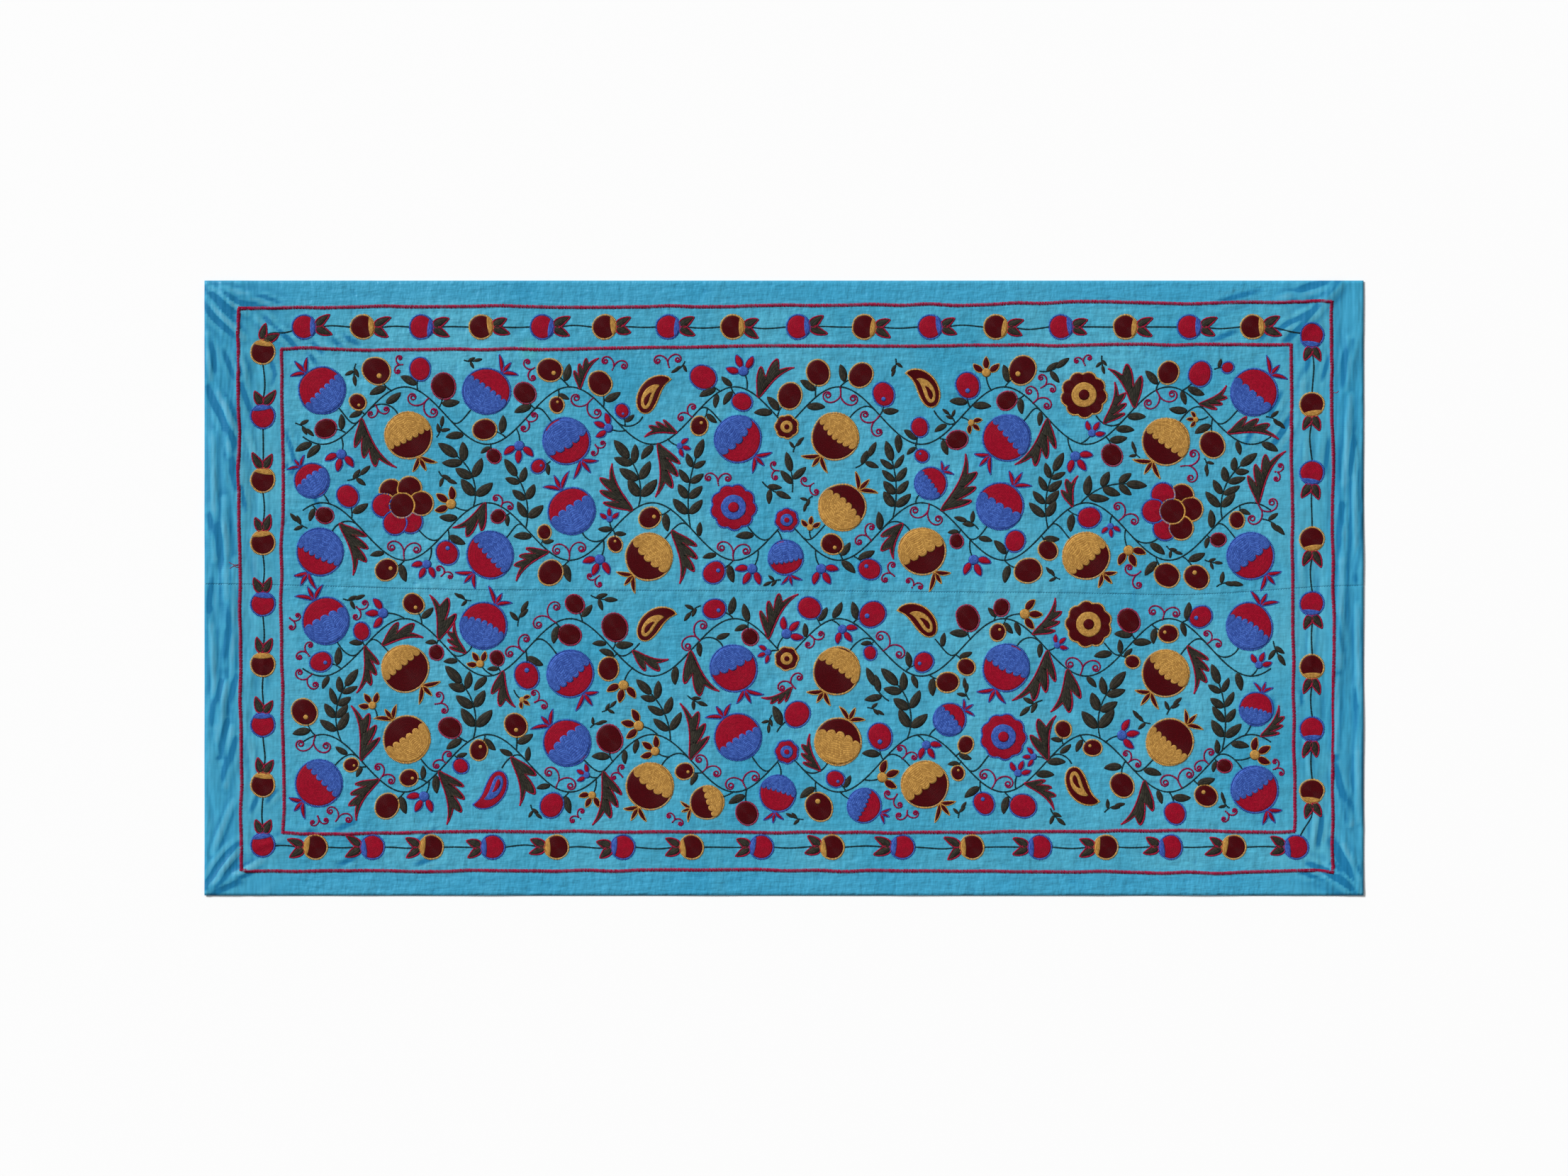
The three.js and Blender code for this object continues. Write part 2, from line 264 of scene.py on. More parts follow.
def seam_at(x):
    x = np.asarray(x, float)
    knots = np.array(SEAM_KNOTS, float)
    right = np.clip(np.searchsorted(knots[:, 0], x), 1, len(knots) - 1)
    x0, y0 = knots[right - 1, 0], knots[right - 1, 1]
    x1, y1 = knots[right, 0], knots[right, 1]
    t = np.clip((x - x0) / (x1 - x0), 0, 1)
    return y0 + (y1 - y0) * t * t * (3 - 2 * t)


def fold_lift(x, y):
    total = np.zeros_like(x)
    for x1, y1, x2, y2, wide, high in FOLDS:
        run = np.array([x2 - x1, y2 - y1], float)
        t = ((x - x1) * run[0] + (y - y1) * run[1]) / (run @ run)
        along = np.clip(t, 0, 1)
        away = np.hypot(x - x1 - along * run[0], y - y1 - along * run[1]) / (wide / 2)
        taper = np.sin(np.pi * (0.12 + 0.76 * along))
        total += np.where(away < 1, high * taper * 0.5 * (1 + np.cos(np.pi * np.minimum(away, 1))), 0)
    return MOST_LIFT * (1 - np.exp(-total / MOST_LIFT))


def smooth_noise(x, y, cell_x, cell_y, seed):
    """Soft random hills from 0 to 1, one to each cell, for what no fold table holds."""
    u = np.asarray(x, float) / cell_x + 1000.0
    v = np.asarray(y, float) / cell_y + 1000.0
    knots = np.random.default_rng(seed).random((257, 257))
    i = np.floor(u).astype(int)
    j = np.floor(v).astype(int)
    s = u - i
    t = v - j
    s = s * s * (3 - 2 * s)
    t = t * t * (3 - 2 * t)
    a = knots[i % 256, j % 256]
    b = knots[(i + 1) % 256, j % 256]
    c = knots[i % 256, (j + 1) % 256]
    d = knots[(i + 1) % 256, (j + 1) % 256]
    return (a * (1 - s) + b * s) * (1 - t) + (c * (1 - s) + d * s) * t


def creases_at(x, y):
    """Lift of the ridges beside the creases, and how near a trough each point lies."""
    swayed_x = x + CREASE_SWAY * (smooth_noise(x, y, SWAY_CELL, SWAY_CELL, 41) - 0.5)
    swayed_y = y + CREASE_SWAY * (smooth_noise(x, y, SWAY_CELL, SWAY_CELL, 42) - 0.5)
    lift = np.zeros_like(x)
    trough = np.zeros_like(x)
    for wide, high, *points in CREASES:
        points = np.array(points, float)
        legs = np.hypot(*np.diff(points, axis=0).T)
        gone = 0.0
        nearest = np.full(x.shape, 1e9)
        off = np.zeros_like(x)
        part = np.zeros_like(x)
        for a, b, leg in zip(points[:-1], points[1:], legs):
            run = (b - a) / leg
            t = np.clip((swayed_x - a[0]) * run[0] + (swayed_y - a[1]) * run[1], 0, leg)
            off_x = swayed_x - a[0] - t * run[0]
            off_y = swayed_y - a[1] - t * run[1]
            away = np.hypot(off_x, off_y)
            closer = away < nearest
            hand = np.where(run[0] * off_y - run[1] * off_x < 0, -1.0, 1.0)
            off = np.where(closer, away * hand / wide, off)
            part = np.where(closer, (gone + t) / legs.sum(), part)
            nearest = np.minimum(away, nearest)
            gone += leg
        taper = np.sin(np.pi * (0.1 + 0.8 * part))
        ridges = (RIDGE_SHARES[0] * np.exp(-((off - RIDGE_AWAY) / RIDGE_WIDE) ** 2)
                  + RIDGE_SHARES[1] * np.exp(-((off + RIDGE_AWAY) / RIDGE_WIDE) ** 2))
        lift += high * taper * ridges
        trough += high * taper * np.exp(-(off / TROUGH_WIDE) ** 2)
    return lift, trough


SIDE_ZONE = 150.0
SIDE_START = 60
MARGIN_WIDE = 110
MARGIN_FADE = 40
SOFT_WAVE_HIGH = 1.6
STREAK_HIGH = 2.6
FINE_STREAK_HIGH = 0.5
CORNER_HIGH = 1.0
CORNER_REACH = 430.0
SEAM_PUCKER_HIGH = 0.8
SEAM_PUCKER_REACH = 16
SEAM_DIP = 0.3
SEAM_DIP_REACH = 2.2
# Soft ridges: angle, across, along, seed
MARGIN_STREAKS = (math.pi / 2 - 0.04, 38, 130, 11)
FINE_STREAKS = (math.pi / 2 + 0.05, 24, 100, 12)
# Angle of the streaks to the length of the cloth at the upper (1) and lower (-1) corners
CORNER_SLANT = {1: 0.78, -1: 0.62}
CORNER_ACROSS = 24
CORNER_ALONG = 190
# Soft waves of the middle are the product of two sets of hills: cells in X and Y, seed
WAVE_HILLS = ((130, 60, 13), (70, 90, 14))
PUCKER_HILLS = (13, 30, 15)


def streaks(x, y, angle, across, along, seed):
    """Long soft ridges that run at an angle, wandering a little as they go."""
    run = x * math.cos(angle) + y * math.sin(angle)
    off = y * math.cos(angle) - x * math.sin(angle)
    off = off + 0.9 * across * (smooth_noise(run, off, 1.1 * along, 5 * across, seed + 1) - 0.5)
    return smooth_noise(run, off, along, across, seed) ** 2


def sheet_lift(x, y):
    """Underside of the cloth above the surface it lies on."""
    side = np.clip((np.abs(x) - (HALF_LENGTH - SIDE_ZONE - SIDE_START)) / SIDE_ZONE, 0, 1)
    margin = np.clip((np.abs(x) - (HALF_LENGTH - MARGIN_WIDE)) / MARGIN_FADE, 0, 1)
    lift = fold_lift(x, y) + creases_at(x, y)[0]
    lift = lift + STREAK_HIGH * margin * streaks(x, y, *MARGIN_STREAKS)
    lift = lift + FINE_STREAK_HIGH * side * streaks(x, y, *FINE_STREAKS)
    for number, (corner_x, corner_y) in enumerate(((-1, 1), (1, 1), (-1, -1), (1, -1))):
        away = np.hypot(x - corner_x * HALF_LENGTH, y - corner_y * HALF_WIDTH)
        near = np.clip(1 - away / CORNER_REACH, 0, 1)
        slant = corner_x * corner_y * CORNER_SLANT[corner_y]
        fan = streaks(x, y, slant, CORNER_ACROSS, CORNER_ALONG, 31 + 3 * number)
        lift = lift + CORNER_HIGH * near * fan
    waves = smooth_noise(x, y, *WAVE_HILLS[0]) * smooth_noise(x, y, *WAVE_HILLS[1])
    lift = lift + SOFT_WAVE_HIGH * waves * (1 - side)
    seam_far = np.abs(y - seam_at(x))
    pucker = smooth_noise(x, y, *PUCKER_HILLS) * np.exp(-seam_far / SEAM_PUCKER_REACH)
    return lift + SEAM_PUCKER_HIGH * pucker


def steps(start, stop, step):
    return np.linspace(start, stop, max(1, round(abs(stop - start) / step)), endpoint=False)


# Mesh grid: fine at the sides and hems, where the creases are
FINE_SIDE = 340
SIDE_STEP = 5.6
MIDDLE_STEP = 12.0
HEM_ZONE = 320.0
HEM_STEP = 6.8
plain_half = HALF_LENGTH - FINE_SIDE
COLUMNS = np.concatenate([
    steps(-HALF_LENGTH, -plain_half, SIDE_STEP),
    steps(-plain_half, plain_half, MIDDLE_STEP),
    steps(plain_half, HALF_LENGTH, SIDE_STEP),
    [HALF_LENGTH],
])
ROWS = np.concatenate([
    [0.0, 1.2, 3.0, 6.0, 11.0],
    steps(18.0, HALF_WIDTH - HEM_ZONE, MIDDLE_STEP),
    steps(HALF_WIDTH - HEM_ZONE, HALF_WIDTH, HEM_STEP),
    [HALF_WIDTH],
]) / HALF_WIDTH


def width_heights(side):
    """Heights of one width's top on its grid; side is 1 above the seam, -1 below."""
    x = np.repeat(COLUMNS[:, None], len(ROWS), 1)
    start = seam_at(x) + side * SEAM_GAP / 2
    y = start + ROWS[None, :] * (side * HALF_WIDTH - start)
    lift = sheet_lift(x, y)
    dip = SEAM_DIP * np.exp(-((y - start) / SEAM_DIP_REACH) ** 2)
    return x, y, lift, lift + SHEET_THICK - dip


heights = {side: width_heights(side) for side in (1, -1)}


def ground(x, y):
    """Top of the cloth under a point, read from the same grid as its mesh."""
    x = np.asarray(x, float)
    y = np.asarray(y, float)
    out = np.zeros(np.broadcast(x, y).shape)
    for side in (1, -1):
        top = heights[side][3]
        start = seam_at(x) + side * SEAM_GAP / 2
        v = np.clip((y - start) / (side * HALF_WIDTH - start), 0, 1)
        i = np.clip(np.searchsorted(COLUMNS, x, side="right") - 1, 0, len(COLUMNS) - 2)
        j = np.clip(np.searchsorted(ROWS, v, side="right") - 1, 0, len(ROWS) - 2)
        s = np.clip((x - COLUMNS[i]) / (COLUMNS[i + 1] - COLUMNS[i]), 0, 1)
        t = (v - ROWS[j]) / (ROWS[j + 1] - ROWS[j])
        low = top[i, j] * (1 - s) + top[i + 1, j] * s
        high = top[i, j + 1] * (1 - s) + top[i + 1, j + 1] * s
        here = low * (1 - t) + high * t
        mine = (y >= seam_at(x)) if side > 0 else (y < seam_at(x))
        out = np.where(mine, here, out)
    return out


def hollows(top):
    """How far each point lies below (above zero) or above its surroundings."""
    around = top
    for turn in range(3):
        padded = np.pad(around, 1, mode="edge")
        around = (padded[:-2, 1:-1] + padded[2:, 1:-1] + padded[1:-1, :-2] + padded[1:-1, 2:] + around) / 5
    return around - top


# painted shade: how strongly nearness to a crease trough darkens the silk's colour
CREASE_SHADE = 0.58


def finished_piece(name, mesh, material):
    mesh.materials.append(material)
    mesh.shade_smooth()
    piece = bpy.data.objects.new(name, mesh)
    bpy.context.scene.collection.objects.link(piece)
    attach(piece, "root")
    return piece


class Nodes:
    """Short hand for a material's node tree."""

    def __init__(self, name):
        self.material = bpy.data.materials.new(name)
        self.material.use_nodes = True
        self.tree = self.material.node_tree
        self.shader = self.tree.nodes["Principled BSDF"]

    def add(self, kind, *links, **settings):
        node = self.tree.nodes.new("ShaderNode" + kind)
        for key, value in settings.items():
            setattr(node, key, value)
        for socket, value in links:
            target = node.inputs[socket]
            if isinstance(value, bpy.types.NodeSocket):
                self.tree.links.new(value, target)
            else:
                target.default_value = value
        return node

    def math(self, operation, a, b=0.0):
        return self.add("Math", (0, a), (1, b), operation=operation).outputs[0]

    def noise(self, vector, scale, detail=2.0, roughness=0.5):
        links = (("Vector", vector), ("Scale", scale), ("Detail", detail), ("Roughness", roughness))
        return self.add("TexNoise", *links).outputs["Fac"]

    def stretch(self, vector, scale, turn=0.0):
        links = (("Vector", vector), ("Scale", scale), ("Rotation", (0.0, 0.0, turn)))
        return self.add("Mapping", *links).outputs["Vector"]

    def ramp(self, value, *stops):
        node = self.add("ValToRGB", ("Fac", value))
        elements = node.color_ramp.elements
        while len(elements) < len(stops):
            elements.new(0.5)
        for element, (place, colour) in zip(elements, stops):
            element.position = place
            element.color = (*colour, 1.0)
        return node.outputs["Color"]

    def mix(self, factor, a, b, blend="MIX"):
        node = self.add("Mix", data_type="RGBA", blend_type=blend)
        for socket, value in ((0, factor), (6, a), (7, b)):
            if isinstance(value, bpy.types.NodeSocket):
                self.tree.links.new(value, node.inputs[socket])
            else:
                node.inputs[socket].default_value = value
        return node.outputs[2]

    def bump(self, height, distance, strength=1.0, under=None):
        links = [("Height", height), ("Distance", distance), ("Strength", strength)]
        if under is not None:
            links.append(("Normal", under))
        return self.add("Bump", *links).outputs["Normal"]

    def set(self, **values):
        for name, value in values.items():
            socket = self.shader.inputs[name.replace("_", " ")]
            if isinstance(value, bpy.types.NodeSocket):
                self.tree.links.new(value, socket)
            else:
                socket.default_value = value


# Stain: x, y and reach in metres
STAIN = (-0.548, 0.514, 0.030)


def silk_ground():
    n = Nodes("turquoise_silk")
    place = n.add("TexCoord").outputs["Object"]
    split = n.add("SeparateXYZ", ("Vector", place))
    x = split.outputs["X"]
    y = split.outputs["Y"]
    # dye: broad mottling, then the cloudiness of hand dyeing, then slubs along the weft
    cloud = n.noise(place, 3.2, 4.0, 0.55)
    mottle = n.noise(place, 42.0, 3.0, 0.6)
    slub = n.noise(n.stretch(place, (22.0, 620.0, 1.0)), 1.0, 2.0, 0.5)
    base = n.ramp(cloud, (0.34, (0.036, 0.302, 0.470)), (0.66, (0.078, 0.385, 0.535)))
    mottles = n.ramp(mottle, (0.35, (0.42, 0.42, 0.42)), (0.65, (0.58, 0.58, 0.58)))
    mottled = n.mix(0.55, base, mottles, "OVERLAY")
    slubs = n.ramp(slub, (0.3, (0.44, 0.44, 0.44)), (0.7, (0.56, 0.56, 0.56)))
    woven = n.mix(0.35, mottled, slubs, "OVERLAY")
    # the margins outside the frame lines are deeper in colour
    out_x = n.math("SUBTRACT", n.math("ABSOLUTE", x), 1.165)
    out_y = n.math("SUBTRACT", n.math("ABSOLUTE", y), 0.600)
    outside = n.math("MULTIPLY", n.math("MAXIMUM", out_x, out_y), 40.0)
    margin = n.add("Clamp", ("Value", outside)).outputs[0]
    deeper = n.mix(n.math("MULTIPLY", margin, 0.55), woven, (0.030, 0.305, 0.530, 1.0))
    # two old fold lines down the cloth have dulled to green
    band_noise = n.noise(n.stretch(place, (8.0, 2.0, 1.0)), 1.0, 2.0)
    bands = []
    for middle, half in ((-0.141, 0.024), (0.541, 0.060)):
        away = n.math("ABSOLUTE", n.math("SUBTRACT", x, middle))
        band = n.math("SUBTRACT", 1.0, n.math("DIVIDE", away, half))
        bands.append(n.add("Clamp", ("Value", band)).outputs[0])
    faded = n.math("MULTIPLY", n.math("ADD", bands[0], bands[1]), n.math("MULTIPLY", band_noise, 0.30))
    aged = n.mix(faded, deeper, (0.085, 0.330, 0.400, 1.0))
    # a small stain beside the topmost spray has turned green
    stain_x = n.math("SUBTRACT", x, STAIN[0])
    stain_y = n.math("SUBTRACT", y, STAIN[1])
    stain_far = n.math("SQRT", n.math("ADD", n.math("POWER", stain_x, 2.0), n.math("POWER", stain_y, 2.0)))
    stain = n.add("Clamp", ("Value", n.math("MULTIPLY", n.math("SUBTRACT", STAIN[2], stain_far), 45.0)))
    stained = n.mix(n.math("MULTIPLY", stain.outputs[0], 0.5), aged, (0.060, 0.420, 0.400, 1.0))
    # soft fine creases: down the cloth at the sides, along it in the middle
    side = n.add("Clamp", ("Value", n.math("MULTIPLY", n.math("SUBTRACT", n.math("ABSOLUTE", x), 1.03), 9.0)))
    upright = n.noise(n.stretch(place, (38.0, 8.0, 1.0), 0.06), 1.0, 2.0, 0.5)
    level = n.noise(n.stretch(place, (20.0, 62.0, 1.0), 0.08), 1.0, 2.5, 0.55)
    crossed = n.noise(n.stretch(place, (60.0, 26.0, 1.0), 0.7), 1.0, 2.5, 0.55)
    middle = n.math("ADD", n.math("MULTIPLY", level, 0.5), n.math("MULTIPLY", crossed, 0.5))
    creases = n.mix(side.outputs[0], middle, upright)
    # painted shade: the colour turns deep blue in the hollows of the folds, along the crease troughs and
    # along the fine creases of the bump; painted highlight: it turns paler on the ridges
    hollow = n.add("Attribute", attribute_name="hollow").outputs["Fac"]
    small = n.math("MULTIPLY", n.math("SUBTRACT", 0.43, creases), 3.4)
    dip = n.math("MAXIMUM", n.math("MULTIPLY", hollow, 1.6), small)
    sunk = n.add("Clamp", ("Value", dip)).outputs[0]
    ridge_highlight = n.add("Clamp", ("Value", n.math("MULTIPLY", hollow, -1.0))).outputs[0]
    shaded = n.mix(n.math("MULTIPLY", sunk, 0.9), stained, (0.003, 0.150, 0.330, 1.0))
    folded = n.mix(n.math("MULTIPLY", ridge_highlight, 0.40), shaded, (0.170, 0.470, 0.610, 1.0))
    soft = n.bump(creases, 0.0070, 1.0)
    weave = n.bump(slub, 0.0004, 0.6, soft)
    grain = n.bump(n.noise(place, 520.0, 2.0, 0.6), 0.0003, 0.5, weave)
    n.set(Base_Color=folded, Roughness=0.46, Specular_IOR_Level=0.22, Sheen_Weight=0.06, Normal=grain)
    n.shader.inputs["Sheen Roughness"].default_value = 0.4
    return n.material


silk = silk_ground()


def width_of_cloth(name, node, side):
    x, y, bottom, top = heights[side]
    columns, rows = x.shape
    skins = [np.stack([x, y, z], -1).reshape(-1, 3) for z in (top, bottom)]
    index = np.arange(columns * rows).reshape(columns, rows)
    if side < 0:
        index = index[:, ::-1]
    quads = np.stack([index[:-1, :-1], index[1:, :-1], index[1:, 1:], index[:-1, 1:]], -1).reshape(-1, 4)
    rim = np.concatenate([index[:-1, 0], index[-1, :-1], index[:0:-1, -1], index[0, :0:-1]])
    after = np.roll(rim, -1)
    under = columns * rows
    walls = np.stack([rim, rim + under, after + under, after], -1)
    faces = np.concatenate([quads, quads[:, ::-1] + under, walls])
    mesh = bpy.data.meshes.new(name)
    mesh.from_pydata((np.concatenate(skins) * MM).tolist(), [], faces.tolist())
    # painted shade and highlight: hollow is how far each point lies below its surroundings or in a crease
    # trough (darkened in the silk's colour), or above them on a ridge (lightened)
    depth = mesh.attributes.new("hollow", "FLOAT", "POINT")
    sunk = hollows(top) + CREASE_SHADE * creases_at(x, y)[1]
    depth.data.foreach_set("value", np.tile(sunk.ravel(), 2))
    piece = finished_piece(name, mesh, silk)
    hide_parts(node)


width_of_cloth("cloth_upper", "panel_upper", 1)
width_of_cloth("cloth_lower", "panel_lower", -1)

# Frame lines: two rows of thick raspberry yarn worked in close slanted stitches
# round the border. They are drawn by hand, so they waver and their corners differ.
OUTER_FRAME = [(-1175, 603), (1181, 618), (1184, -613), (-1170, -609)]
INNER_FRAME = [(-1084, 515), (1094, 525), (1101, -525), (-1081, -528)]
FRAME_WIDE = 8.2
FRAME_HIGH = 1.5
FRAME_PITCH = 2.9
YARN_SPECULAR = 0.08
YARN_SHEEN = 0.015
YARN_SHEEN_ROUGH = 0.35
THREAD_ROUGH = 0.6
STITCH_ROOT = -0.5


def yarn(name, light, dark, stitch, rough=0.6):
    """Silk yarn in rows. The UV map counts rows across and stitches along."""
    n = Nodes(name)
    place = n.add("TexCoord").outputs["Object"]
    rows = n.add("UVMap", uv_map="rows").outputs["UV"]
    split = n.add("SeparateXYZ", ("Vector", rows))
    across = split.outputs["X"]
    row = n.math("FLOOR", across)
    along = n.math("ADD", split.outputs["Y"], n.math("MULTIPLY", row, 0.37))
    cell = n.add("CombineXYZ", ("X", row), ("Y", n.math("FLOOR", along)))
    tone = n.add("TexWhiteNoise", ("Vector", cell.outputs[0]), noise_dimensions="2D").outputs["Value"]
    in_row = n.math("ABSOLUTE", n.math("SUBTRACT", n.math("FRACT", across), 0.5))
    in_stitch = n.math("ABSOLUTE", n.math("SUBTRACT", n.math("FRACT", along), 0.5))
    gap = n.math("MULTIPLY", n.math("POWER", n.math("MULTIPLY", in_row, 2.0), 3.0), 0.6)
    nick = n.math("MULTIPLY", n.math("POWER", n.math("MULTIPLY", in_stitch, 2.0), 4.0), 0.26)
    hollow = n.math("ADD", gap, nick)
    fuzz = n.noise(place, 260.0, 2.0, 0.6)
    slant = n.math("ADD", n.math("MULTIPLY", across, 3.2), n.math("MULTIPLY", along, 4.5))
    twist = n.add("CombineXYZ", ("X", slant), ("Y", n.math("MULTIPLY", along, 0.6)))
    strand = n.noise(twist.outputs[0], 1.0, 2.0)
    fibres = n.math("MULTIPLY", n.math("ADD", strand, fuzz), 0.3)
    shade = n.math("ADD", n.math("MULTIPLY", tone, 0.8 * stitch), fibres)
    lit = n.mix(n.add("Clamp", ("Value", shade)).outputs[0], (*dark, 1.0), (*light, 1.0))
    # painted shade: the colour darkens in the grooves between rows and between stitches
    groove_shade_colour = tuple(0.35 * value for value in dark)
    sunk = n.mix(n.math("MULTIPLY", n.add("Clamp", ("Value", hollow)).outputs[0], 0.65), lit, (*groove_shade_colour, 1.0))
    relief = n.math("SUBTRACT", n.math("MULTIPLY", n.math("ADD", tone, strand), 0.3), hollow)
    stitched = n.bump(relief, 0.0008, 0.9)
    fibre = n.bump(n.noise(place, 900.0, 2.0, 0.6), 0.0003, 0.5, stitched)
    n.set(Base_Color=sunk, Roughness=rough, Normal=fibre)
    n.set(Specular_IOR_Level=YARN_SPECULAR, Sheen_Weight=YARN_SHEEN, Sheen_Roughness=YARN_SHEEN_ROUGH)
    return n.material


def thread(name, light, dark):
    """Yarn laid stitch by stitch: its tone changes from one stitch to the next."""
    n = Nodes(name)
    place = n.add("TexCoord").outputs["Object"]
    tone = n.add("Attribute", attribute_name="tone").outputs["Fac"]
    fuzz = n.noise(place, 300.0, 2.0, 0.6)
    shade = n.math("ADD", n.math("MULTIPLY", tone, 0.6), n.math("MULTIPLY", fuzz, 0.4))
    lit = n.mix(shade, (*dark, 1.0), (*light, 1.0))
    fibre = n.bump(n.noise(place, 1100.0, 2.0, 0.6), 0.0003, 0.6)
    n.set(Base_Color=lit, Roughness=THREAD_ROUGH, Normal=fibre)
    n.set(Specular_IOR_Level=YARN_SPECULAR, Sheen_Weight=YARN_SHEEN, Sheen_Roughness=YARN_SHEEN_ROUGH)
    return n.material


def row_of_stitches_tree():
    """A geometry tree that lays copies of one stitch along every curve it is given."""
    tree = bpy.data.node_groups.new("row_of_stitches", "GeometryNodeTree")
    face = tree.interface
    face.new_socket("Geometry", in_out="INPUT", socket_type="NodeSocketGeometry")
    face.new_socket("Stitch", in_out="INPUT", socket_type="NodeSocketObject")
    for name, value in (("Pitch", 0.003), ("Turn", 0.0), ("Turn Spread", 0.1), ("Size Spread", 0.1)):
        socket = face.new_socket(name, in_out="INPUT", socket_type="NodeSocketFloat")
        socket.default_value = value
    face.new_socket("Seed", in_out="INPUT", socket_type="NodeSocketInt")
    face.new_socket("Thread", in_out="INPUT", socket_type="NodeSocketMaterial")
    face.new_socket("Geometry", in_out="OUTPUT", socket_type="NodeSocketGeometry")
    nodes = tree.nodes
    link = tree.links.new
    given = nodes.new("NodeGroupInput").outputs
    points = nodes.new("GeometryNodeCurveToPoints")
    points.mode = "LENGTH"
    link(given["Geometry"], points.inputs["Curve"])
    link(given["Pitch"], points.inputs["Length"])
    along = nodes.new("FunctionNodeAlignRotationToVector")
    along.axis = "X"
    along.pivot_axis = "Z"
    link(points.outputs["Tangent"], along.inputs["Vector"])

    def random_about(middle, spread, seed_step):
        value = nodes.new("FunctionNodeRandomValue")
        low = nodes.new("ShaderNodeMath")
        low.operation = "SUBTRACT"
        high = nodes.new("ShaderNodeMath")
        high.operation = "ADD"
        seed = nodes.new("ShaderNodeMath")
        seed.operation = "ADD"
        seed.inputs[1].default_value = seed_step
        link(given["Seed"], seed.inputs[0])
        for node in (low, high):
            if isinstance(middle, float):
                node.inputs[0].default_value = middle
            else:
                link(middle, node.inputs[0])
            link(spread, node.inputs[1])
        link(low.outputs[0], value.inputs[2])
        link(high.outputs[0], value.inputs[3])
        link(seed.outputs[0], value.inputs["Seed"])
        return value.outputs[1]

    spin = nodes.new("FunctionNodeAxisAngleToRotation")
    spin.inputs["Axis"].default_value = (0.0, 0.0, 1.0)
    link(random_about(given["Turn"], given["Turn Spread"], 0), spin.inputs["Angle"])
    turned = nodes.new("FunctionNodeRotateRotation")
    turned.rotation_space = "LOCAL"
    link(along.outputs["Rotation"], turned.inputs["Rotation"])
    link(spin.outputs["Rotation"], turned.inputs["Rotate By"])
    stitch = nodes.new("GeometryNodeObjectInfo")
    stitch.transform_space = "ORIGINAL"
    link(given["Stitch"], stitch.inputs["Object"])
    laid = nodes.new("GeometryNodeInstanceOnPoints")
    link(points.outputs["Points"], laid.inputs["Points"])
    link(stitch.outputs["Geometry"], laid.inputs["Instance"])
    link(turned.outputs["Rotation"], laid.inputs["Rotation"])
    link(random_about(1.0, given["Size Spread"], 1), laid.inputs["Scale"])
    tone = nodes.new("GeometryNodeStoreNamedAttribute")
    tone.data_type = "FLOAT"
    tone.domain = "INSTANCE"
    tone.inputs["Name"].default_value = "tone"
    link(laid.outputs["Instances"], tone.inputs["Geometry"])
    half = nodes.new("FunctionNodeRandomValue")
    link(given["Seed"], half.inputs["Seed"])
    link(half.outputs[1], tone.inputs["Value"])
    real = nodes.new("GeometryNodeRealizeInstances")
    link(tone.outputs["Geometry"], real.inputs["Geometry"])
    dyed = nodes.new("GeometryNodeSetMaterial")
    link(real.outputs["Geometry"], dyed.inputs["Geometry"])
    link(given["Thread"], dyed.inputs["Material"])
    link(dyed.outputs["Geometry"], nodes.new("NodeGroupOutput").inputs["Geometry"])
    return tree


stitch_tree = row_of_stitches_tree()


def stitch_mesh(name, points, faces):
    mesh = bpy.data.meshes.new(name)
    mesh.from_pydata((np.array(points, float) * MM).tolist(), [], faces)
    body = bmesh.new()
    body.from_mesh(mesh)
    bmesh.ops.recalc_face_normals(body, faces=body.faces)
    body.to_mesh(mesh)
    body.free()
    mesh.shade_smooth()
    return mesh


def bead_stitch(name, long, wide, high):
    """A plump stitch lying along the row, pointed at both ends."""
    points = [(-long / 2, 0, 0), (long / 2, 0, 0), (0, -wide / 2, 0.1 * high),
              (0, wide / 2, 0.1 * high), (0, 0, high), (0, 0, STITCH_ROOT)]
    faces = [(0, 2, 4), (2, 1, 4), (1, 3, 4), (3, 0, 4), (2, 0, 5), (1, 2, 5), (3, 1, 5), (0, 3, 5)]
    return stitch_mesh(name, points, faces)


def bar_stitch(name, wide, thick, high):
    """A stitch wrapped across the row, rounded over its top."""
    sections = [(-0.5, 0.85, 0.45), (0.0, 1.0, 1.0), (0.5, 0.85, 0.45)]
    points = []
    for at, stout, tall in sections:
        half = thick * stout / 2
        across = at * wide
        points += [(-half, across, STITCH_ROOT), (0, across, high * tall), (half, across, STITCH_ROOT)]
    faces = [(0, 1, 2), (8, 7, 6)]
    for k in (0, 3):
        for a, b in ((0, 1), (1, 2), (2, 0)):
            faces.append((k + a, k + 3 + a, k + 3 + b, k + b))
    return stitch_mesh(name, points, faces)


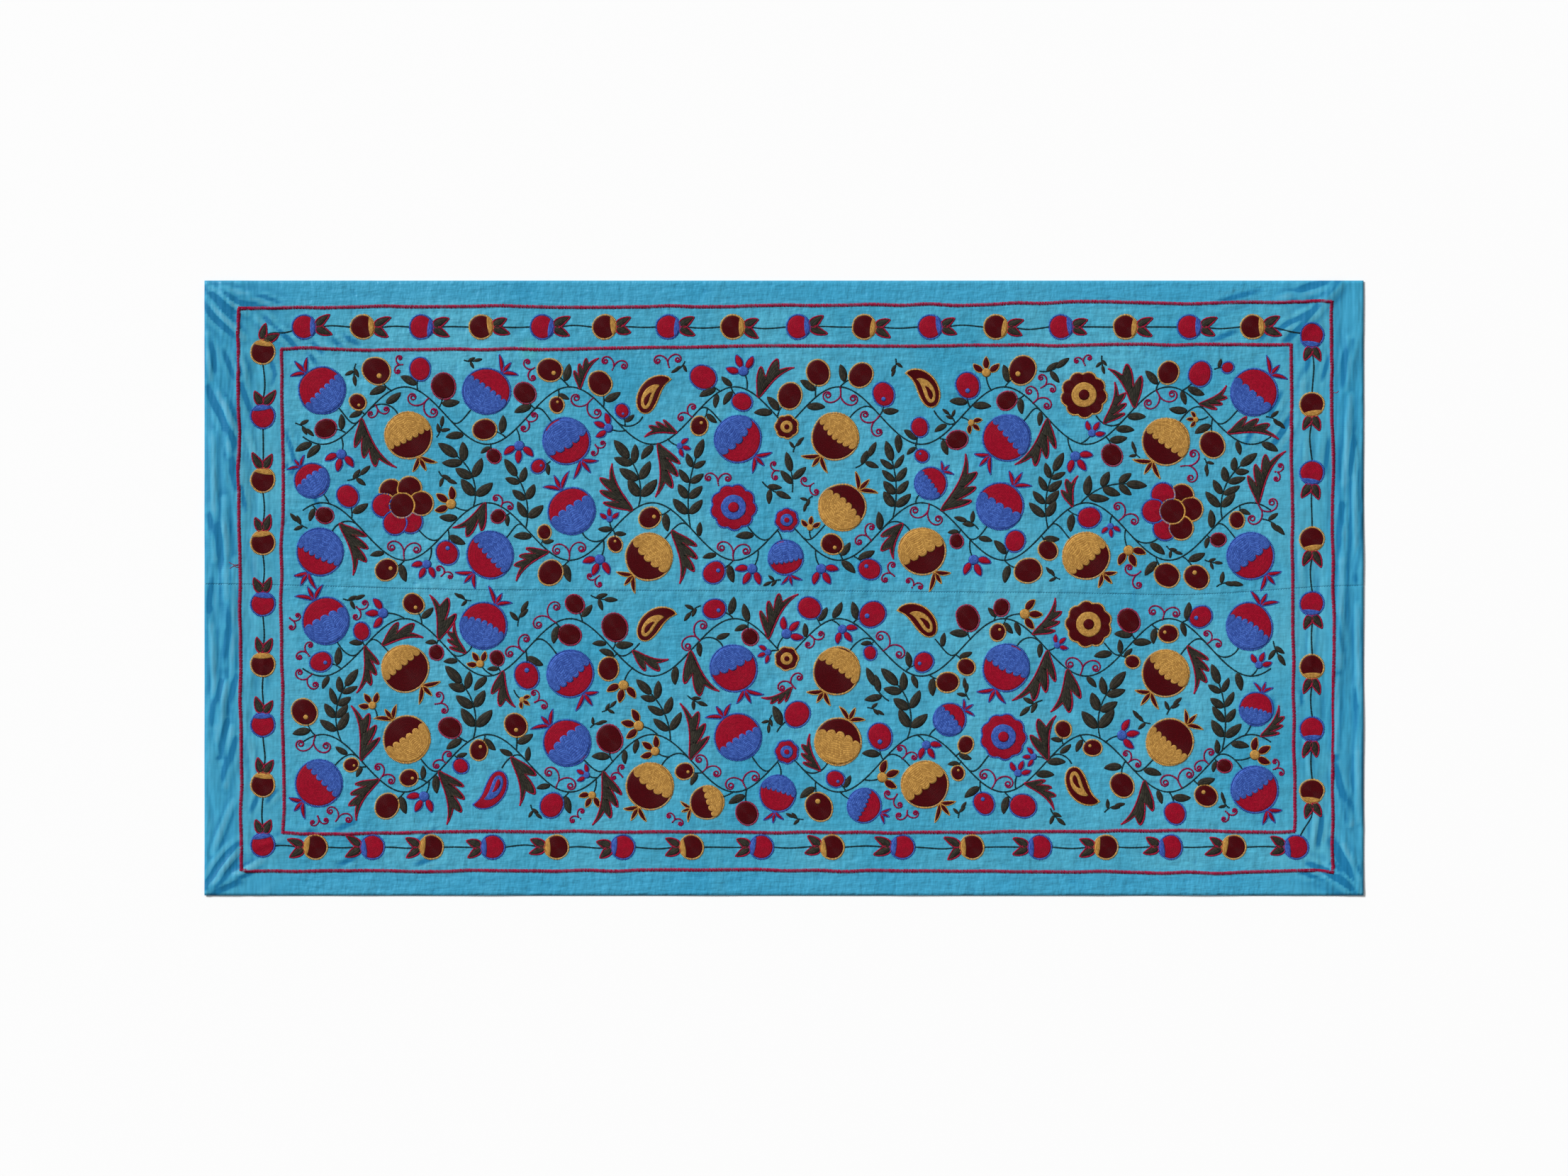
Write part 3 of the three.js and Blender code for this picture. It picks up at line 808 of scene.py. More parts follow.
def stitch_rows(name, paths, stitch, pitch, material, turn=0.0, loose=0.12, uneven=0.12,
                seed=1, raised=0.2):
    """paths are (points in mm, closed) pairs; each becomes a row of the given stitch."""
    curve = bpy.data.curves.new(name + "_path", "CURVE")
    curve.dimensions = "3D"
    for points, closed in paths:
        points = np.asarray(points, float)
        spline = curve.splines.new("POLY")
        spline.points.add(len(points) - 1)
        z = ground(points[:, 0], points[:, 1]) + raised
        placed = np.column_stack([points * MM, z * MM, np.ones(len(points))])
        spline.points.foreach_set("co", placed.ravel())
        spline.use_cyclic_u = closed
    path = bpy.data.objects.new(name + "_path", curve)
    pattern = bpy.data.objects.new(name + "_stitch", stitch)
    for helper in (path, pattern):
        bpy.context.scene.collection.objects.link(helper)
    modifier = path.modifiers.new("stitches", "NODES")
    modifier.node_group = stitch_tree
    values = {"Stitch": pattern, "Pitch": pitch * MM, "Turn": turn, "Turn Spread": loose,
              "Size Spread": uneven, "Seed": seed, "Thread": material}
    for socket in stitch_tree.interface.items_tree:
        if socket.item_type == "SOCKET" and socket.in_out == "INPUT" and socket.name in values:
            modifier[socket.identifier] = values[socket.name]
    graph = bpy.context.evaluated_depsgraph_get()
    mesh = bpy.data.meshes.new_from_object(path.evaluated_get(graph), depsgraph=graph)
    mesh.name = name
    mesh.materials.clear()
    for helper in (path, pattern):
        bpy.data.objects.remove(helper)
    bpy.data.curves.remove(curve)
    finished_piece(name, mesh, material)


HAND_STEP = 9.0
HAND_SWAY = 1.7
SHORT_WAVER = 62
LONG_WAVER = 260
STEADY_END = 40


def hand_drawn(a, b, seed):
    """A straight line as the hand draws it, from a to b, steady at both ends."""
    a = np.array(a, float)
    b = np.array(b, float)
    run = np.linalg.norm(b - a)
    t = np.linspace(0, 1, max(2, int(run / HAND_STEP)))
    off = (smooth_noise(t * run, 0 * t, SHORT_WAVER, 1, seed) - 0.5) * 2 * HAND_SWAY
    off += (smooth_noise(t * run, 0 * t, LONG_WAVER, 1, seed + 50) - 0.5) * 3.4 * HAND_SWAY
    off *= np.minimum(1, np.minimum(t, 1 - t) * run / STEADY_END)
    unit = (b - a) / run
    return a + np.outer(t, b - a) + np.outer(off, [-unit[1], unit[0]])


frame_thread = thread("raspberry_line", (0.380, 0.008, 0.056), (0.180, 0.004, 0.026))
rib = bar_stitch("frame_rib", FRAME_WIDE, FRAME_PITCH * 1.25, FRAME_HIGH)
frame_paths = []
for ring, corners in enumerate((OUTER_FRAME, INNER_FRAME)):
    for side, (a, b) in enumerate(zip(corners, corners[1:] + corners[:1])):
        frame_paths.append((hand_drawn(a, b, 70 + 10 * ring + side), False))
stitch_rows("frame_lines", frame_paths, rib, FRAME_PITCH, frame_thread,
            turn=0.28, loose=0.10, uneven=0.07, seed=3, raised=0.1)

# Ends of yarn left hanging by the outer line: start, end and how far they bow
LOOSE_ENDS = [
    ((-1174, 52), (-1196, 55), 3.5),
    ((-1174, 48), (-1194, 43), -2.5),
    ((-1175, 45), (-1187, 49), 2.0),
    ((1186, 422), (1195, 424), -2.0),
]
loose_paths = []
for a, b, bow in LOOSE_ENDS:
    a = np.array(a, float)
    b = np.array(b, float)
    across = np.array([a[1] - b[1], b[0] - a[0]]) / np.linalg.norm(b - a)
    t = np.linspace(0, 1, 7)[:, None]
    loose_paths.append((a + (b - a) * t + across * bow * np.sin(np.pi * t), False))
loose_end = bead_stitch("loose_end", 5.0, 1.5, 0.9)
stitch_rows("loose_yarn_ends", loose_paths, loose_end, 2.2, frame_thread,
            loose=0.05, seed=5)

# Seam: the two widths are whipped together with fine turquoise thread.
SEAM_PITCH = 5.5
seam_thread = thread("seam_thread", (0.045, 0.300, 0.450), (0.026, 0.200, 0.320))
whip = bead_stitch("whip_stitch", 4.2, 1.0, 0.6)
seam_x = np.arange(-HALF_LENGTH + 3, HALF_LENGTH - 3, 12.0)
stitch_rows("seam_thread_row", [(np.column_stack([seam_x, seam_at(seam_x)]), False)], whip, SEAM_PITCH,
            seam_thread, turn=1.1, loose=0.2, uneven=0.2, seed=4, raised=0.3)

# Border fruit: forty-nine small pomegranates between the frame lines, one behind the
# other round the cloth. Each is a disc of yarn worked in rings, with a cap in a second
# colour towards the leaves, and a row of short stitches standing out round its edge.
STITCH_LONG = 4.0
# Each modelled ridge shows as this many rows of yarn
ROWS_TO_RIDGE = 2
SUNK = -0.35
YARN_HIGH = 1.15
GROOVE = 0.42
CROWNING = 0.3


class Fill:
    """Yarn in close rows: each patch is a closed low mound sunk a little in the cloth."""

    def __init__(self):
        self.points = []
        self.faces = []
        self.rows = []
        self.used = 0

    def patch(self, points, faces, rows):
        self.points.append(points)
        for face, loops in zip(faces, rows):
            self.faces += (np.asarray(face) + self.used).tolist()
            self.rows.append(np.asarray(loops, float).reshape(-1, 2))
        self.used += len(points)

    def round(self, centre, reach, rows, high=YARN_HIGH, base=SUNK):
        """Rings of yarn inside an outline; reach is its radius at even angles."""
        reach = np.asarray(reach, float)
        count = len(reach)
        turn = np.linspace(0, 2 * np.pi, count, endpoint=False)
        out = np.stack([np.cos(turn), np.sin(turn)], -1) * reach[:, None]
        ring = np.arange(1, 2 * rows + 1)
        part = ring / (2 * rows)
        plan = np.asarray(centre, float) + part[:, None, None] * out
        profile = high - GROOVE * (ring % 2 == 0) + CROWNING * (1 - part ** 2)
        profile[-1] = base
        z = ground(plan[..., 0], plan[..., 1]) + profile[:, None]
        top = [[centre[0], centre[1], float(ground(*centre)) + high - GROOVE + CROWNING]]
        points = np.concatenate([top, np.dstack([plan, z]).reshape(-1, 3)])
        s = np.arange(count)
        after = (s + 1) % count
        faces = [np.stack([0 * s, 1 + s, 1 + after], -1)]
        around = 3
        loops = [np.stack([np.stack([0 * s, (s + 0.5) / count * around], -1),
                           np.stack([0 * s + ROWS_TO_RIDGE / 2, s / count * around], -1),
                           np.stack([0 * s + ROWS_TO_RIDGE / 2, (s + 1) / count * around], -1)], 1)]
        for k in range(1, 2 * rows):
            around = max(3, round(2 * np.pi * reach.mean() * (k // 2 + 0.5) / rows / STITCH_LONG))
            low = 1 + (k - 1) * count
            far = low + count
            faces.append(np.stack([low + s, far + s, far + after, low + after], -1))
            v0 = s / count * around
            v1 = (s + 1) / count * around
            u0 = 0 * s + k / 2 * ROWS_TO_RIDGE
            u1 = u0 + 0.5 * ROWS_TO_RIDGE
            loops.append(np.stack([np.stack([u0, v0], -1), np.stack([u1, v0], -1),
                                   np.stack([u1, v1], -1), np.stack([u0, v1], -1)], 1))
        rim = (1 + (2 * rows - 1) * count + s)[::-1]
        faces.append(rim[None, :])
        loops.append(np.zeros((1, count, 2)))
        self.patch(points, faces, loops)

    def between(self, a, b, rows, high=YARN_HIGH, base_a=SUNK, base_b=SUNK, start=0.0):
        """Rows of yarn side by side between two edges that meet at both ends."""
        a = np.asarray(a, float)
        b = np.asarray(b, float)
        middle = (a + b) / 2
        run = np.diff(middle, axis=0)
        over = (b - a)[1:]
        if np.sum(run[:, 0] * over[:, 1] - run[:, 1] * over[:, 0]) < 0:
            a, b = b, a
            base_a, base_b = base_b, base_a
        lanes = np.arange(2 * rows + 1)
        part = lanes / (2 * rows)
        plan = a[1:-1, None] + part[None, :, None] * (b - a)[1:-1, None]
        swell = np.minimum(1, np.linalg.norm(b - a, axis=1)[1:-1] / 6)[:, None]
        edge = base_a + (base_b - base_a) * part
        profile = high - GROOVE * (lanes % 2 == 0) + CROWNING * (1 - (2 * part - 1) ** 2)
        profile[0] = base_a
        profile[-1] = base_b
        z = ground(plan[..., 0], plan[..., 1]) + edge + (profile - edge) * swell
        low = min(base_a, base_b)
        tips = [[*end, float(ground(*end)) + low] for end in (a[0], a[-1])]
        points = np.concatenate([np.dstack([plan, z]).reshape(-1, 3), tips])
        stations = len(a) - 2
        wide = 2 * rows + 1
        index = np.arange(stations * wide).reshape(stations, wide)
        first = stations * wide
        last = first + 1
        along = start + np.concatenate([[0], np.cumsum(np.linalg.norm(run, axis=1))]) / STITCH_LONG
        u = part * rows * ROWS_TO_RIDGE
        quads = np.stack([index[:-1, :-1], index[1:, :-1], index[1:, 1:], index[:-1, 1:]], -1).reshape(-1, 4)
        u0, v0 = np.meshgrid(u[:-1], along[1:-2])
        u1, v1 = np.meshgrid(u[1:], along[2:-1])
        quad_rows = np.stack([np.stack([u0, v0], -1), np.stack([u0, v1], -1),
                              np.stack([u1, v1], -1), np.stack([u1, v0], -1)], 2).reshape(-1, 4, 2)
        lane = np.arange(wide - 1)
        fan_a = np.stack([0 * lane + first, index[0, :-1], index[0, 1:]], -1)
        fan_b = np.stack([index[-1, :-1], 0 * lane + last, index[-1, 1:]], -1)
        mid_u = (u[:-1] + u[1:]) / 2

        def corner(across, station):
            return np.stack([across, 0 * across + along[station]], -1)

        rows_a = np.stack([corner(mid_u, 0), corner(u[:-1], 1), corner(u[1:], 1)], 1)
        rows_b = np.stack([corner(u[:-1], -2), corner(mid_u, -1), corner(u[1:], -2)], 1)
        rim = np.concatenate([[first], index[:, 0], [last], index[::-1, -1]])[::-1]
        faces = [quads, fan_a, fan_b, rim[None, :]]
        self.patch(points, faces, [quad_rows, rows_a, rows_b, np.zeros((1, len(rim), 2))])

    def finish(self, name, material, slot):
        mesh = bpy.data.meshes.new(name)
        mesh.from_pydata((np.concatenate(self.points) * MM).tolist(), [], self.faces)
        layer = mesh.uv_layers.new(name="rows")
        layer.data.foreach_set("uv", np.concatenate(self.rows).ravel())
        finished_piece(name, mesh, material)


def disc(radius, count, seed, uneven=0.03):
    """Radii of a round outline drawn by hand."""
    rng = np.random.default_rng(seed)
    turn = np.linspace(0, 2 * np.pi, count, endpoint=False)
    off = sum(rng.normal() * np.cos(k * turn + rng.random() * 6.3) / k for k in (2, 3, 5))
    return radius * (1 + uneven * off)


def ring_path(centre, reach, out=0.0):
    turn = np.linspace(0, 2 * np.pi, len(reach), endpoint=False)
    ray = np.stack([np.cos(turn), np.sin(turn)], -1)
    return np.asarray(centre) + ray * (np.asarray(reach) + out)[:, None]


def unit(angle):
    return np.array([math.cos(angle), math.sin(angle)])


crimson = yarn("crimson_silk_yarn", (0.450, 0.005, 0.028), (0.190, 0.002, 0.012), stitch=0.55)
maroon = yarn("maroon_silk_yarn", (0.096, 0.0012, 0.004), (0.046, 0.0006, 0.002), rough=0.5, stitch=0.4)
gold = yarn("gold_silk_yarn", (0.640, 0.350, 0.085), (0.270, 0.120, 0.024), stitch=0.8)
blue = yarn("blue_silk_yarn", (0.070, 0.160, 0.560), (0.012, 0.036, 0.230), stitch=0.8)
gold_thread = thread("gold_thread", (0.700, 0.390, 0.090), (0.380, 0.180, 0.034))
blue_thread = thread("blue_thread", (0.060, 0.130, 0.520), (0.016, 0.042, 0.260))


def finish_bodies(name, fills):
    """Crimson and maroon pieces; fills is keyed by whether the yarn is crimson."""
    fills[True].finish(name + "_crimson", crimson, "crimson_yarn")
    fills[False].finish(name + "_maroon", maroon, "maroon_yarn")


def finish_trims(name, fills):
    """The second colour: blue goes with crimson and gold with maroon."""
    fills[True].finish(name + "_blue", blue, "blue_yarn")
    fills[False].finish(name + "_gold", gold, "gold_yarn")


def trim_rows(name, paths, stitch, pitch, turn, seed):
    """Rows of stitches in the same two second colours."""
    stitch_rows(name + "_blue", paths[True], stitch, pitch, blue_thread,
                turn=turn, seed=seed)
    stitch_rows(name + "_gold", paths[False], stitch, pitch, gold_thread,
                turn=turn, seed=seed + 1)


# Rows of fruit: along, level, first, last, bow, skew, steps, from, to
BORDER_ROWS = [
    ("x", 563, -1035, 1147, -25, -14, 16, 0, 15),
    ("y", 1139, 545, -573, -20, -3, 8, 0, 7),
    ("x", -559, -1132, 1105, -35, -31, 16, 1, 16),
    ("y", -1124, 509, -554, -12, -2, 8, 0, 8),
]
FRUIT_RADIUS = 25.0
TOOTH_PITCH = 3.3
CAP_REACH = math.radians(54)
border_fruit = []
for row, (axis, level, first, last, bow, skew, total, start, stop) in enumerate(BORDER_ROWS):
    heading = (0, -math.pi / 2, math.pi, math.pi / 2)[row]
    order = range(start, stop + 1) if row < 2 else range(stop, start - 1, -1)
    for k in order:
        t = k / total
        place = first + (last - first) * t + bow * math.sin(math.pi * t) + skew * math.sin(2 * math.pi * t)
        centre = (place, level) if axis == "x" else (level, place)
        is_crimson = k in (1, 4, 6, 8) if row == 3 else k % 2 == 0
        border_fruit.append((np.array(centre, float), heading, is_crimson))


def cap_edges(centre, radius, heading, reach, bow, scallops=0, bump=0.0, stations=17):
    """Inner and outer edge of the part of a disc that faces along heading."""
    turn = np.linspace(heading - reach, heading + reach, stations)
    outer = np.asarray(centre) + (radius + 0.6) * np.stack([np.cos(turn), np.sin(turn)], -1)
    t = np.linspace(0, 1, stations)[:, None]
    inner = outer[0] + (outer[-1] - outer[0]) * t
    in_out = -bow * np.sin(np.pi * t)
    if scallops:
        in_out = in_out - bump * np.sqrt(1 - (2 * ((scallops * t) % 1) - 1) ** 2)
    return inner + in_out * unit(heading), outer


OVER = 0.62
OVER_BASE = 1.1
border_body = {True: Fill(), False: Fill()}
border_cap = {True: Fill(), False: Fill()}
border_teeth = {True: [], False: []}
for number, (centre, heading, is_crimson) in enumerate(border_fruit):
    outline = disc(FRUIT_RADIUS, 32, 300 + number)
    border_body[is_crimson].round(centre, outline, 5)
    cap_turn = heading + 0.16 * math.sin(2.7 * number)
    inner, outer = cap_edges(centre, FRUIT_RADIUS, cap_turn, CAP_REACH, 3.0)
    border_cap[is_crimson].between(inner, outer, 3, YARN_HIGH + OVER, OVER_BASE, SUNK, start=number)
    border_teeth[is_crimson].append((ring_path(centre, outline, 1.0), True))
finish_bodies("border_fruit", border_body)
finish_trims("border_caps", border_cap)
tooth = bead_stitch("tooth", 6.4, 3.7, 1.35)
trim_rows("border_teeth", border_teeth, tooth, TOOTH_PITCH, math.pi / 2, 11)

# Border leaves: two pointed leaves open beyond each cap, dark green edged with
# raspberry, and a rope-like stem runs on from between them to the next fruit.
LEAF_LONG = 37.0
LEAF_WIDE = 18.0
LEAF_SPREAD = 0.52
LEAF_SWELL = 0.60
CORNER_LEAN = 0.55
EDGE_PITCH = 3.1
STEM_PITCH = 3.3


def pointed_leaf(base, heading, long, wide, bend=0.0, stations=9, swell=0.85):
    """Both edges of a leaf from its base to its tip."""
    t = np.linspace(0, 1, stations)
    angle = heading + bend * (t - 0.5)
    step = np.stack([np.cos(angle), np.sin(angle)], -1) * long / (stations - 1)
    spine = np.asarray(base) + np.concatenate([[[0, 0]], np.cumsum((step[1:] + step[:-1]) / 2, axis=0)])
    half = wide / 2 * np.clip(np.sin(np.pi * t ** swell), 0, 1) ** 0.75
    normal = np.stack([-np.sin(angle), np.cos(angle)], -1)
    return spine - normal * half[:, None], spine + normal * half[:, None]


def bezier(a, b, c, d, count=20):
    t = np.linspace(0, 1, count)[:, None]
    a, b, c, d = (np.asarray(p, float) for p in (a, b, c, d))
    return a * (1 - t) ** 3 + 3 * b * t * (1 - t) ** 2 + 3 * c * t * t * (1 - t) + d * t ** 3


leaf = yarn("dark_leaf_yarn", (0.040, 0.036, 0.026), (0.010, 0.010, 0.009), stitch=0.9)
raspberry_thread = thread("raspberry_thread", (0.430, 0.012, 0.052), (0.190, 0.005, 0.024))
stem_thread = thread("dark_stem_thread", (0.014, 0.042, 0.044), (0.003, 0.014, 0.018))
edge_stitch = bead_stitch("edge_stitch", 5.2, 4.8, 1.6)
stem_stitch = bead_stitch("stem_stitch", 5.4, 4.4, 1.4)


def edge_rows(name, paths, seed):
    stitch_rows(name, paths, edge_stitch, EDGE_PITCH, raspberry_thread,
                turn=0.35, seed=seed)


def stem_rows(name, paths, seed):
    stitch_rows(name, paths, stem_stitch, STEM_PITCH, stem_thread, turn=0.3, seed=seed)


border_leaves = Fill()
border_edges = []
border_stems = []
for number, (centre, heading, is_crimson) in enumerate(border_fruit):
    rng = np.random.default_rng(500 + number)
    base = centre + unit(heading) * (FRUIT_RADIUS + 1.0)
    after = border_fruit[(number + 1) % len(border_fruit)]
    run = after[0] - base
    ahead = math.atan2(run[1], run[0])
    corner = math.remainder(ahead - heading, 2 * math.pi)
    lean = heading + (CORNER_LEAN * corner if abs(corner) > 0.6 else 0.06 * rng.normal())
    for hand in (-1, 1):
        angle = lean + hand * (LEAF_SPREAD + 0.08 * rng.normal())
        start = base + 1.2 * unit(lean + hand * 1.57)
        long = LEAF_LONG * rng.uniform(0.86, 1.08)
        wide = LEAF_WIDE * rng.uniform(0.92, 1.08)
        edges = pointed_leaf(start, angle, long, wide, -0.35 * hand, 13, LEAF_SWELL)
        border_leaves.between(*edges, 2, start=number)
        border_edges.append((np.concatenate([edges[0], edges[1][-2:0:-1]]), True))
    enter = after[0] - unit(ahead) * (FRUIT_RADIUS + 3)
    reach = np.linalg.norm(enter - base)
    sway = rng.uniform(-0.16, 0.16)
    path = bezier(base + 13 * unit(lean), base + reach * 0.45 * unit(lean + sway),
                  enter - reach * 0.4 * unit(ahead - sway), enter)
    border_stems.append((path, False))
border_leaves.finish("border_leaves", leaf, "leaf_yarn")
edge_rows("border_leaf_edges", border_edges, 13)
stem_rows("border_stems", border_stems, 14)

# Vines of the field: four of them wave from the middle out to both ends, each in one
# rope-like row, and in every bay of a wave a branch leaves them for one large flower.
VINES = [
    (-375, 1, "OOOtOO"),
    (-125, -1, "OtOOOO"),
    (125, 1, "OOOOtO"),
    (375, -1, "OtOOOO"),
]
FIRST_BAY = 112.0
BAY_PITCH = 178.0
BAY_OFFSET = 50.0
MIDDLE_X = 6.0
VINE_SWING = 62.0
VINE_END = 1046.0
VINE_STEP = 7.0
# A branch leaves its vine this far along the cloth from the middle of its flower's bay
BRANCH_BACK = 78
FLOWER_RADIUS = 50.5


def vine_at(level, side, half, u):
    """A vine's plan and heading where it is u mm out from the middle."""
    phase = math.pi * (u - FIRST_BAY) / BAY_PITCH
    y = level - side * VINE_SWING * math.cos(phase) - 3.0
    slope = side * VINE_SWING * math.pi / BAY_PITCH * math.sin(phase)
    return np.array([MIDDLE_X + half * u, y]), math.atan2(slope, half)


vine_paths = []
branches = []
flowers = []
for row, (level, side, bays) in enumerate(VINES):
    for half in (-1, 1):
        line = np.array([vine_at(level, side, half, u)[0] for u in np.arange(0, VINE_END, VINE_STEP)])
        vine_paths.append(line)
        for bay, kind in enumerate(bays):
            hand = row * 12 + bay * 2 + (1 if half > 0 else 0)
            up = side * (-1 if bay % 2 else 1)
            u = FIRST_BAY + BAY_PITCH * bay
            x = half * u + 8 * math.sin(2.3 * hand + 1) + MIDDLE_X
            y = level + up * BAY_OFFSET + 7 * math.sin(3.7 * hand + 2) - 3
            centre = np.array([x, y])
            outward = 1 if row % 2 == 0 or bay == len(bays) - 1 else -1
            tilt = outward * half * (0.62 + 0.16 * math.sin(5.1 * hand))
            facing = math.atan2(up * math.cos(tilt), math.sin(tilt))
            start, along = vine_at(level, side, half, u - outward * BRANCH_BACK)
            if outward < 0:
                along += math.pi
            foot = centre - unit(facing) * (FLOWER_RADIUS + 3)
            reach = np.linalg.norm(foot - start)
            leaving = start + unit(along) * reach * 0.45
            entering = foot - unit(facing) * reach * 0.4
            branches.append(bezier(start, leaving, entering, foot, 16))
            flowers.append((centre, facing, kind, hand))
stem_rows("field_vines", [(line, False) for line in vine_paths + branches], 21)

# Large flowers of the field. Most are pomegranates: a disc worked in rings whose half
# towards the stem is in a second colour and meets the first in scallops, with a crown
# of three pointed petals. Others are wheel rosettes, bunches of discs and curled almonds.
CROWN_SPREAD = 0.98
HALF_REACH = math.radians(88)
# Rows of yarn across a full-size fruit and its second colour
FRUIT_RINGS = 9.5
HALF_RINGS = 7.5
FRUIT_UNEVEN = 0.026
SCALLOP_WIDE = 9.0
PETAL_WIDE = 9.5
PETAL_BEND = 0.45
# Wheel rosette: depth of its scallops, wheel and eye as parts of its radius
ROSETTE_SCALLOP = 0.14
WHEEL_SHARE = 0.56
EYE_SHARE = 0.24

fruit_body = {True: Fill(), False: Fill()}
fruit_half = {True: Fill(), False: Fill()}
flower_teeth = {True: [], False: []}
crown_edges = {True: [], False: []}


def shape_ring(edges):
    """The closed outline of a shape given by its two edges."""
    a, b = edges
    return np.concatenate([a, b[-2:0:-1]]), True


def pomegranate(centre, facing, is_crimson, seed, radius, body, half, teeth, crowns):
    rng = np.random.default_rng(700 + seed)
    size = radius / FLOWER_RADIUS
    outline = disc(radius, 48 if size > 0.9 else 36, 900 + seed, FRUIT_UNEVEN)
    body[is_crimson].round(centre, outline, round(FRUIT_RINGS * size))
    towards = facing + math.pi + rng.uniform(-0.16, 0.16)
    reach = HALF_REACH * rng.uniform(0.84, 1.06)
    count = int(rng.integers(5, 8))
    bow = rng.uniform(-3, 14) * size
    scallop = SCALLOP_WIDE * size
    rows = round(HALF_RINGS * size)
    inner, outer = cap_edges(centre, radius + 0.3, towards, reach, bow, count, scallop, count * 8 + 1)
    half[is_crimson].between(inner, outer, rows, YARN_HIGH + OVER, OVER_BASE, SUNK, start=seed)
    teeth[is_crimson].append((ring_path(centre, outline, 1.0), True))
    foot = np.asarray(centre) + unit(facing) * (radius + 1.5)
    for hand in (-1, 0, 1):
        angle = facing + hand * CROWN_SPREAD * rng.uniform(0.8, 1.1)
        long = (rng.uniform(33, 46) if hand else rng.uniform(30, 37)) * size
        petal = pointed_leaf(foot, angle, long, PETAL_WIDE * size, PETAL_BEND * hand, 11)
        body[is_crimson].between(*petal, 1, start=seed)
        crowns[is_crimson].append(shape_ring(petal))


def rosette(centre, radius, is_crimson, petals, seed):
    """A wheel flower: a scalloped disc, an inner wheel and an eye."""
    turn = np.linspace(0, 2 * np.pi, petals * 6, endpoint=False)
    swell = np.abs(np.sin(petals * turn / 2 + seed)) ** 0.7
    outline = radius * (1 - ROSETTE_SCALLOP + ROSETTE_SCALLOP * swell)
    fruit_body[is_crimson].round(centre, outline, max(3, round(radius / 5.2)))
    wheel = disc(radius * WHEEL_SHARE, 30, 1100 + seed, 0.03)
    fruit_half[is_crimson].round(centre, wheel, max(2, round(radius / 9.5)), YARN_HIGH + OVER, OVER_BASE)
    eye = disc(radius * EYE_SHARE, 16, 1200 + seed, 0.04)
    fruit_body[is_crimson].round(centre, eye, 2, YARN_HIGH + 2 * OVER, OVER_BASE + OVER)
    flower_teeth[is_crimson].append((ring_path(centre, outline, 0.8), True))


GRAPE_RADIUS = 25.0
GRAPE_SPREAD = 1.62
GRAPE_GAP = 2.2
LEAST_REACH = 3.0


def clipped(centre, radius, over, count=40):
    """Radii of a disc's outline where other discs lie over it."""
    turn = np.linspace(0, 2 * np.pi, count, endpoint=False)
    ray = np.stack([np.cos(turn), np.sin(turn)], -1)
    reach = np.full(count, radius)
    for other, other_radius in over:
        gap = np.asarray(other) - centre
        along = ray @ gap
        square = along ** 2 - (gap @ gap - other_radius ** 2)
        hit = (square > 0) & (along > 0)
        near = along - np.sqrt(np.maximum(square, 0))
        reach = np.where(hit, np.minimum(reach, near - GRAPE_GAP), reach)
    return np.maximum(reach, LEAST_REACH)


def grapes(centre, facing, seed):
    """A bunch of seven discs, each worked up to the ones that lie over it."""
    rng = np.random.default_rng(1500 + seed)
    ring = GRAPE_RADIUS * GRAPE_SPREAD
    turns = facing + np.arange(6) * math.pi / 3 + rng.uniform(-0.1, 0.1, 6)
    discs = [(centre + unit(turn) * ring * rng.uniform(0.94, 1.04), GRAPE_RADIUS) for turn in turns]
    discs.append((np.asarray(centre, float), GRAPE_RADIUS * 1.05))
    order = [0, 3, 5, 1, 4, 2, 6]
    for k, number in enumerate(order):
        place, radius = discs[number]
        is_crimson = number in (1, 2, 3)
        outline = clipped(place, radius, [discs[other] for other in order[k + 1:]])
        fruit_body[is_crimson].round(place, outline, 5)
        flower_teeth[is_crimson].append((ring_path(place, outline, 1.0), True))


def almond_edges(base, heading, long, wide, bend, stations=25):
    """Round at its foot and curled over to a point at its tip."""
    t = np.linspace(0, 1, stations) ** 1.25
    angle = heading + bend * t ** 2
    step = np.diff(t)[:, None] * long * np.stack([np.cos(angle), np.sin(angle)], -1)[1:]
    spine = np.asarray(base) + np.concatenate([[[0, 0]], np.cumsum(step, axis=0)])
    half = wide / 2 * 1.75 * np.sqrt(np.clip(t, 0, 1)) * np.clip(1 - t, 0, 1) ** 0.85
    normal = np.stack([-np.sin(angle), np.cos(angle)], -1)
    return spine - normal * half[:, None], spine + normal * half[:, None]


ALMOND_BACK = 44
ALMOND_TURN = 0.35
# The almond and the two shapes inside it: set in from its foot, length, width, curl
ALMOND_OUTER = (0, 104, 62, 1.5)
ALMOND_INNER = (9, 66, 36, 1.2)
ALMOND_SEED = (17, 34, 15, 0.9)


def almond(centre, facing, is_crimson, hand, seed):
    foot = np.asarray(centre) - unit(facing) * ALMOND_BACK
    start = facing - ALMOND_TURN * hand

    def shape(part, stations=25):
        inset, long, wide, curl = part
        return almond_edges(foot + unit(start) * inset, start, long, wide, curl * hand, stations)

    outer = shape(ALMOND_OUTER)
    fruit_body[is_crimson].between(*outer, 7, start=seed)
    inner = shape(ALMOND_INNER)
    fruit_half[is_crimson].between(*inner, 4, YARN_HIGH + OVER, OVER_BASE, OVER_BASE, start=seed)
    seed_mark = shape(ALMOND_SEED, 13)
    high = YARN_HIGH + 2 * OVER
    low = OVER_BASE + OVER
    fruit_body[is_crimson].between(*seed_mark, 2, high, low, low, start=seed)
    flower_teeth[is_crimson].append(shape_ring(outer))


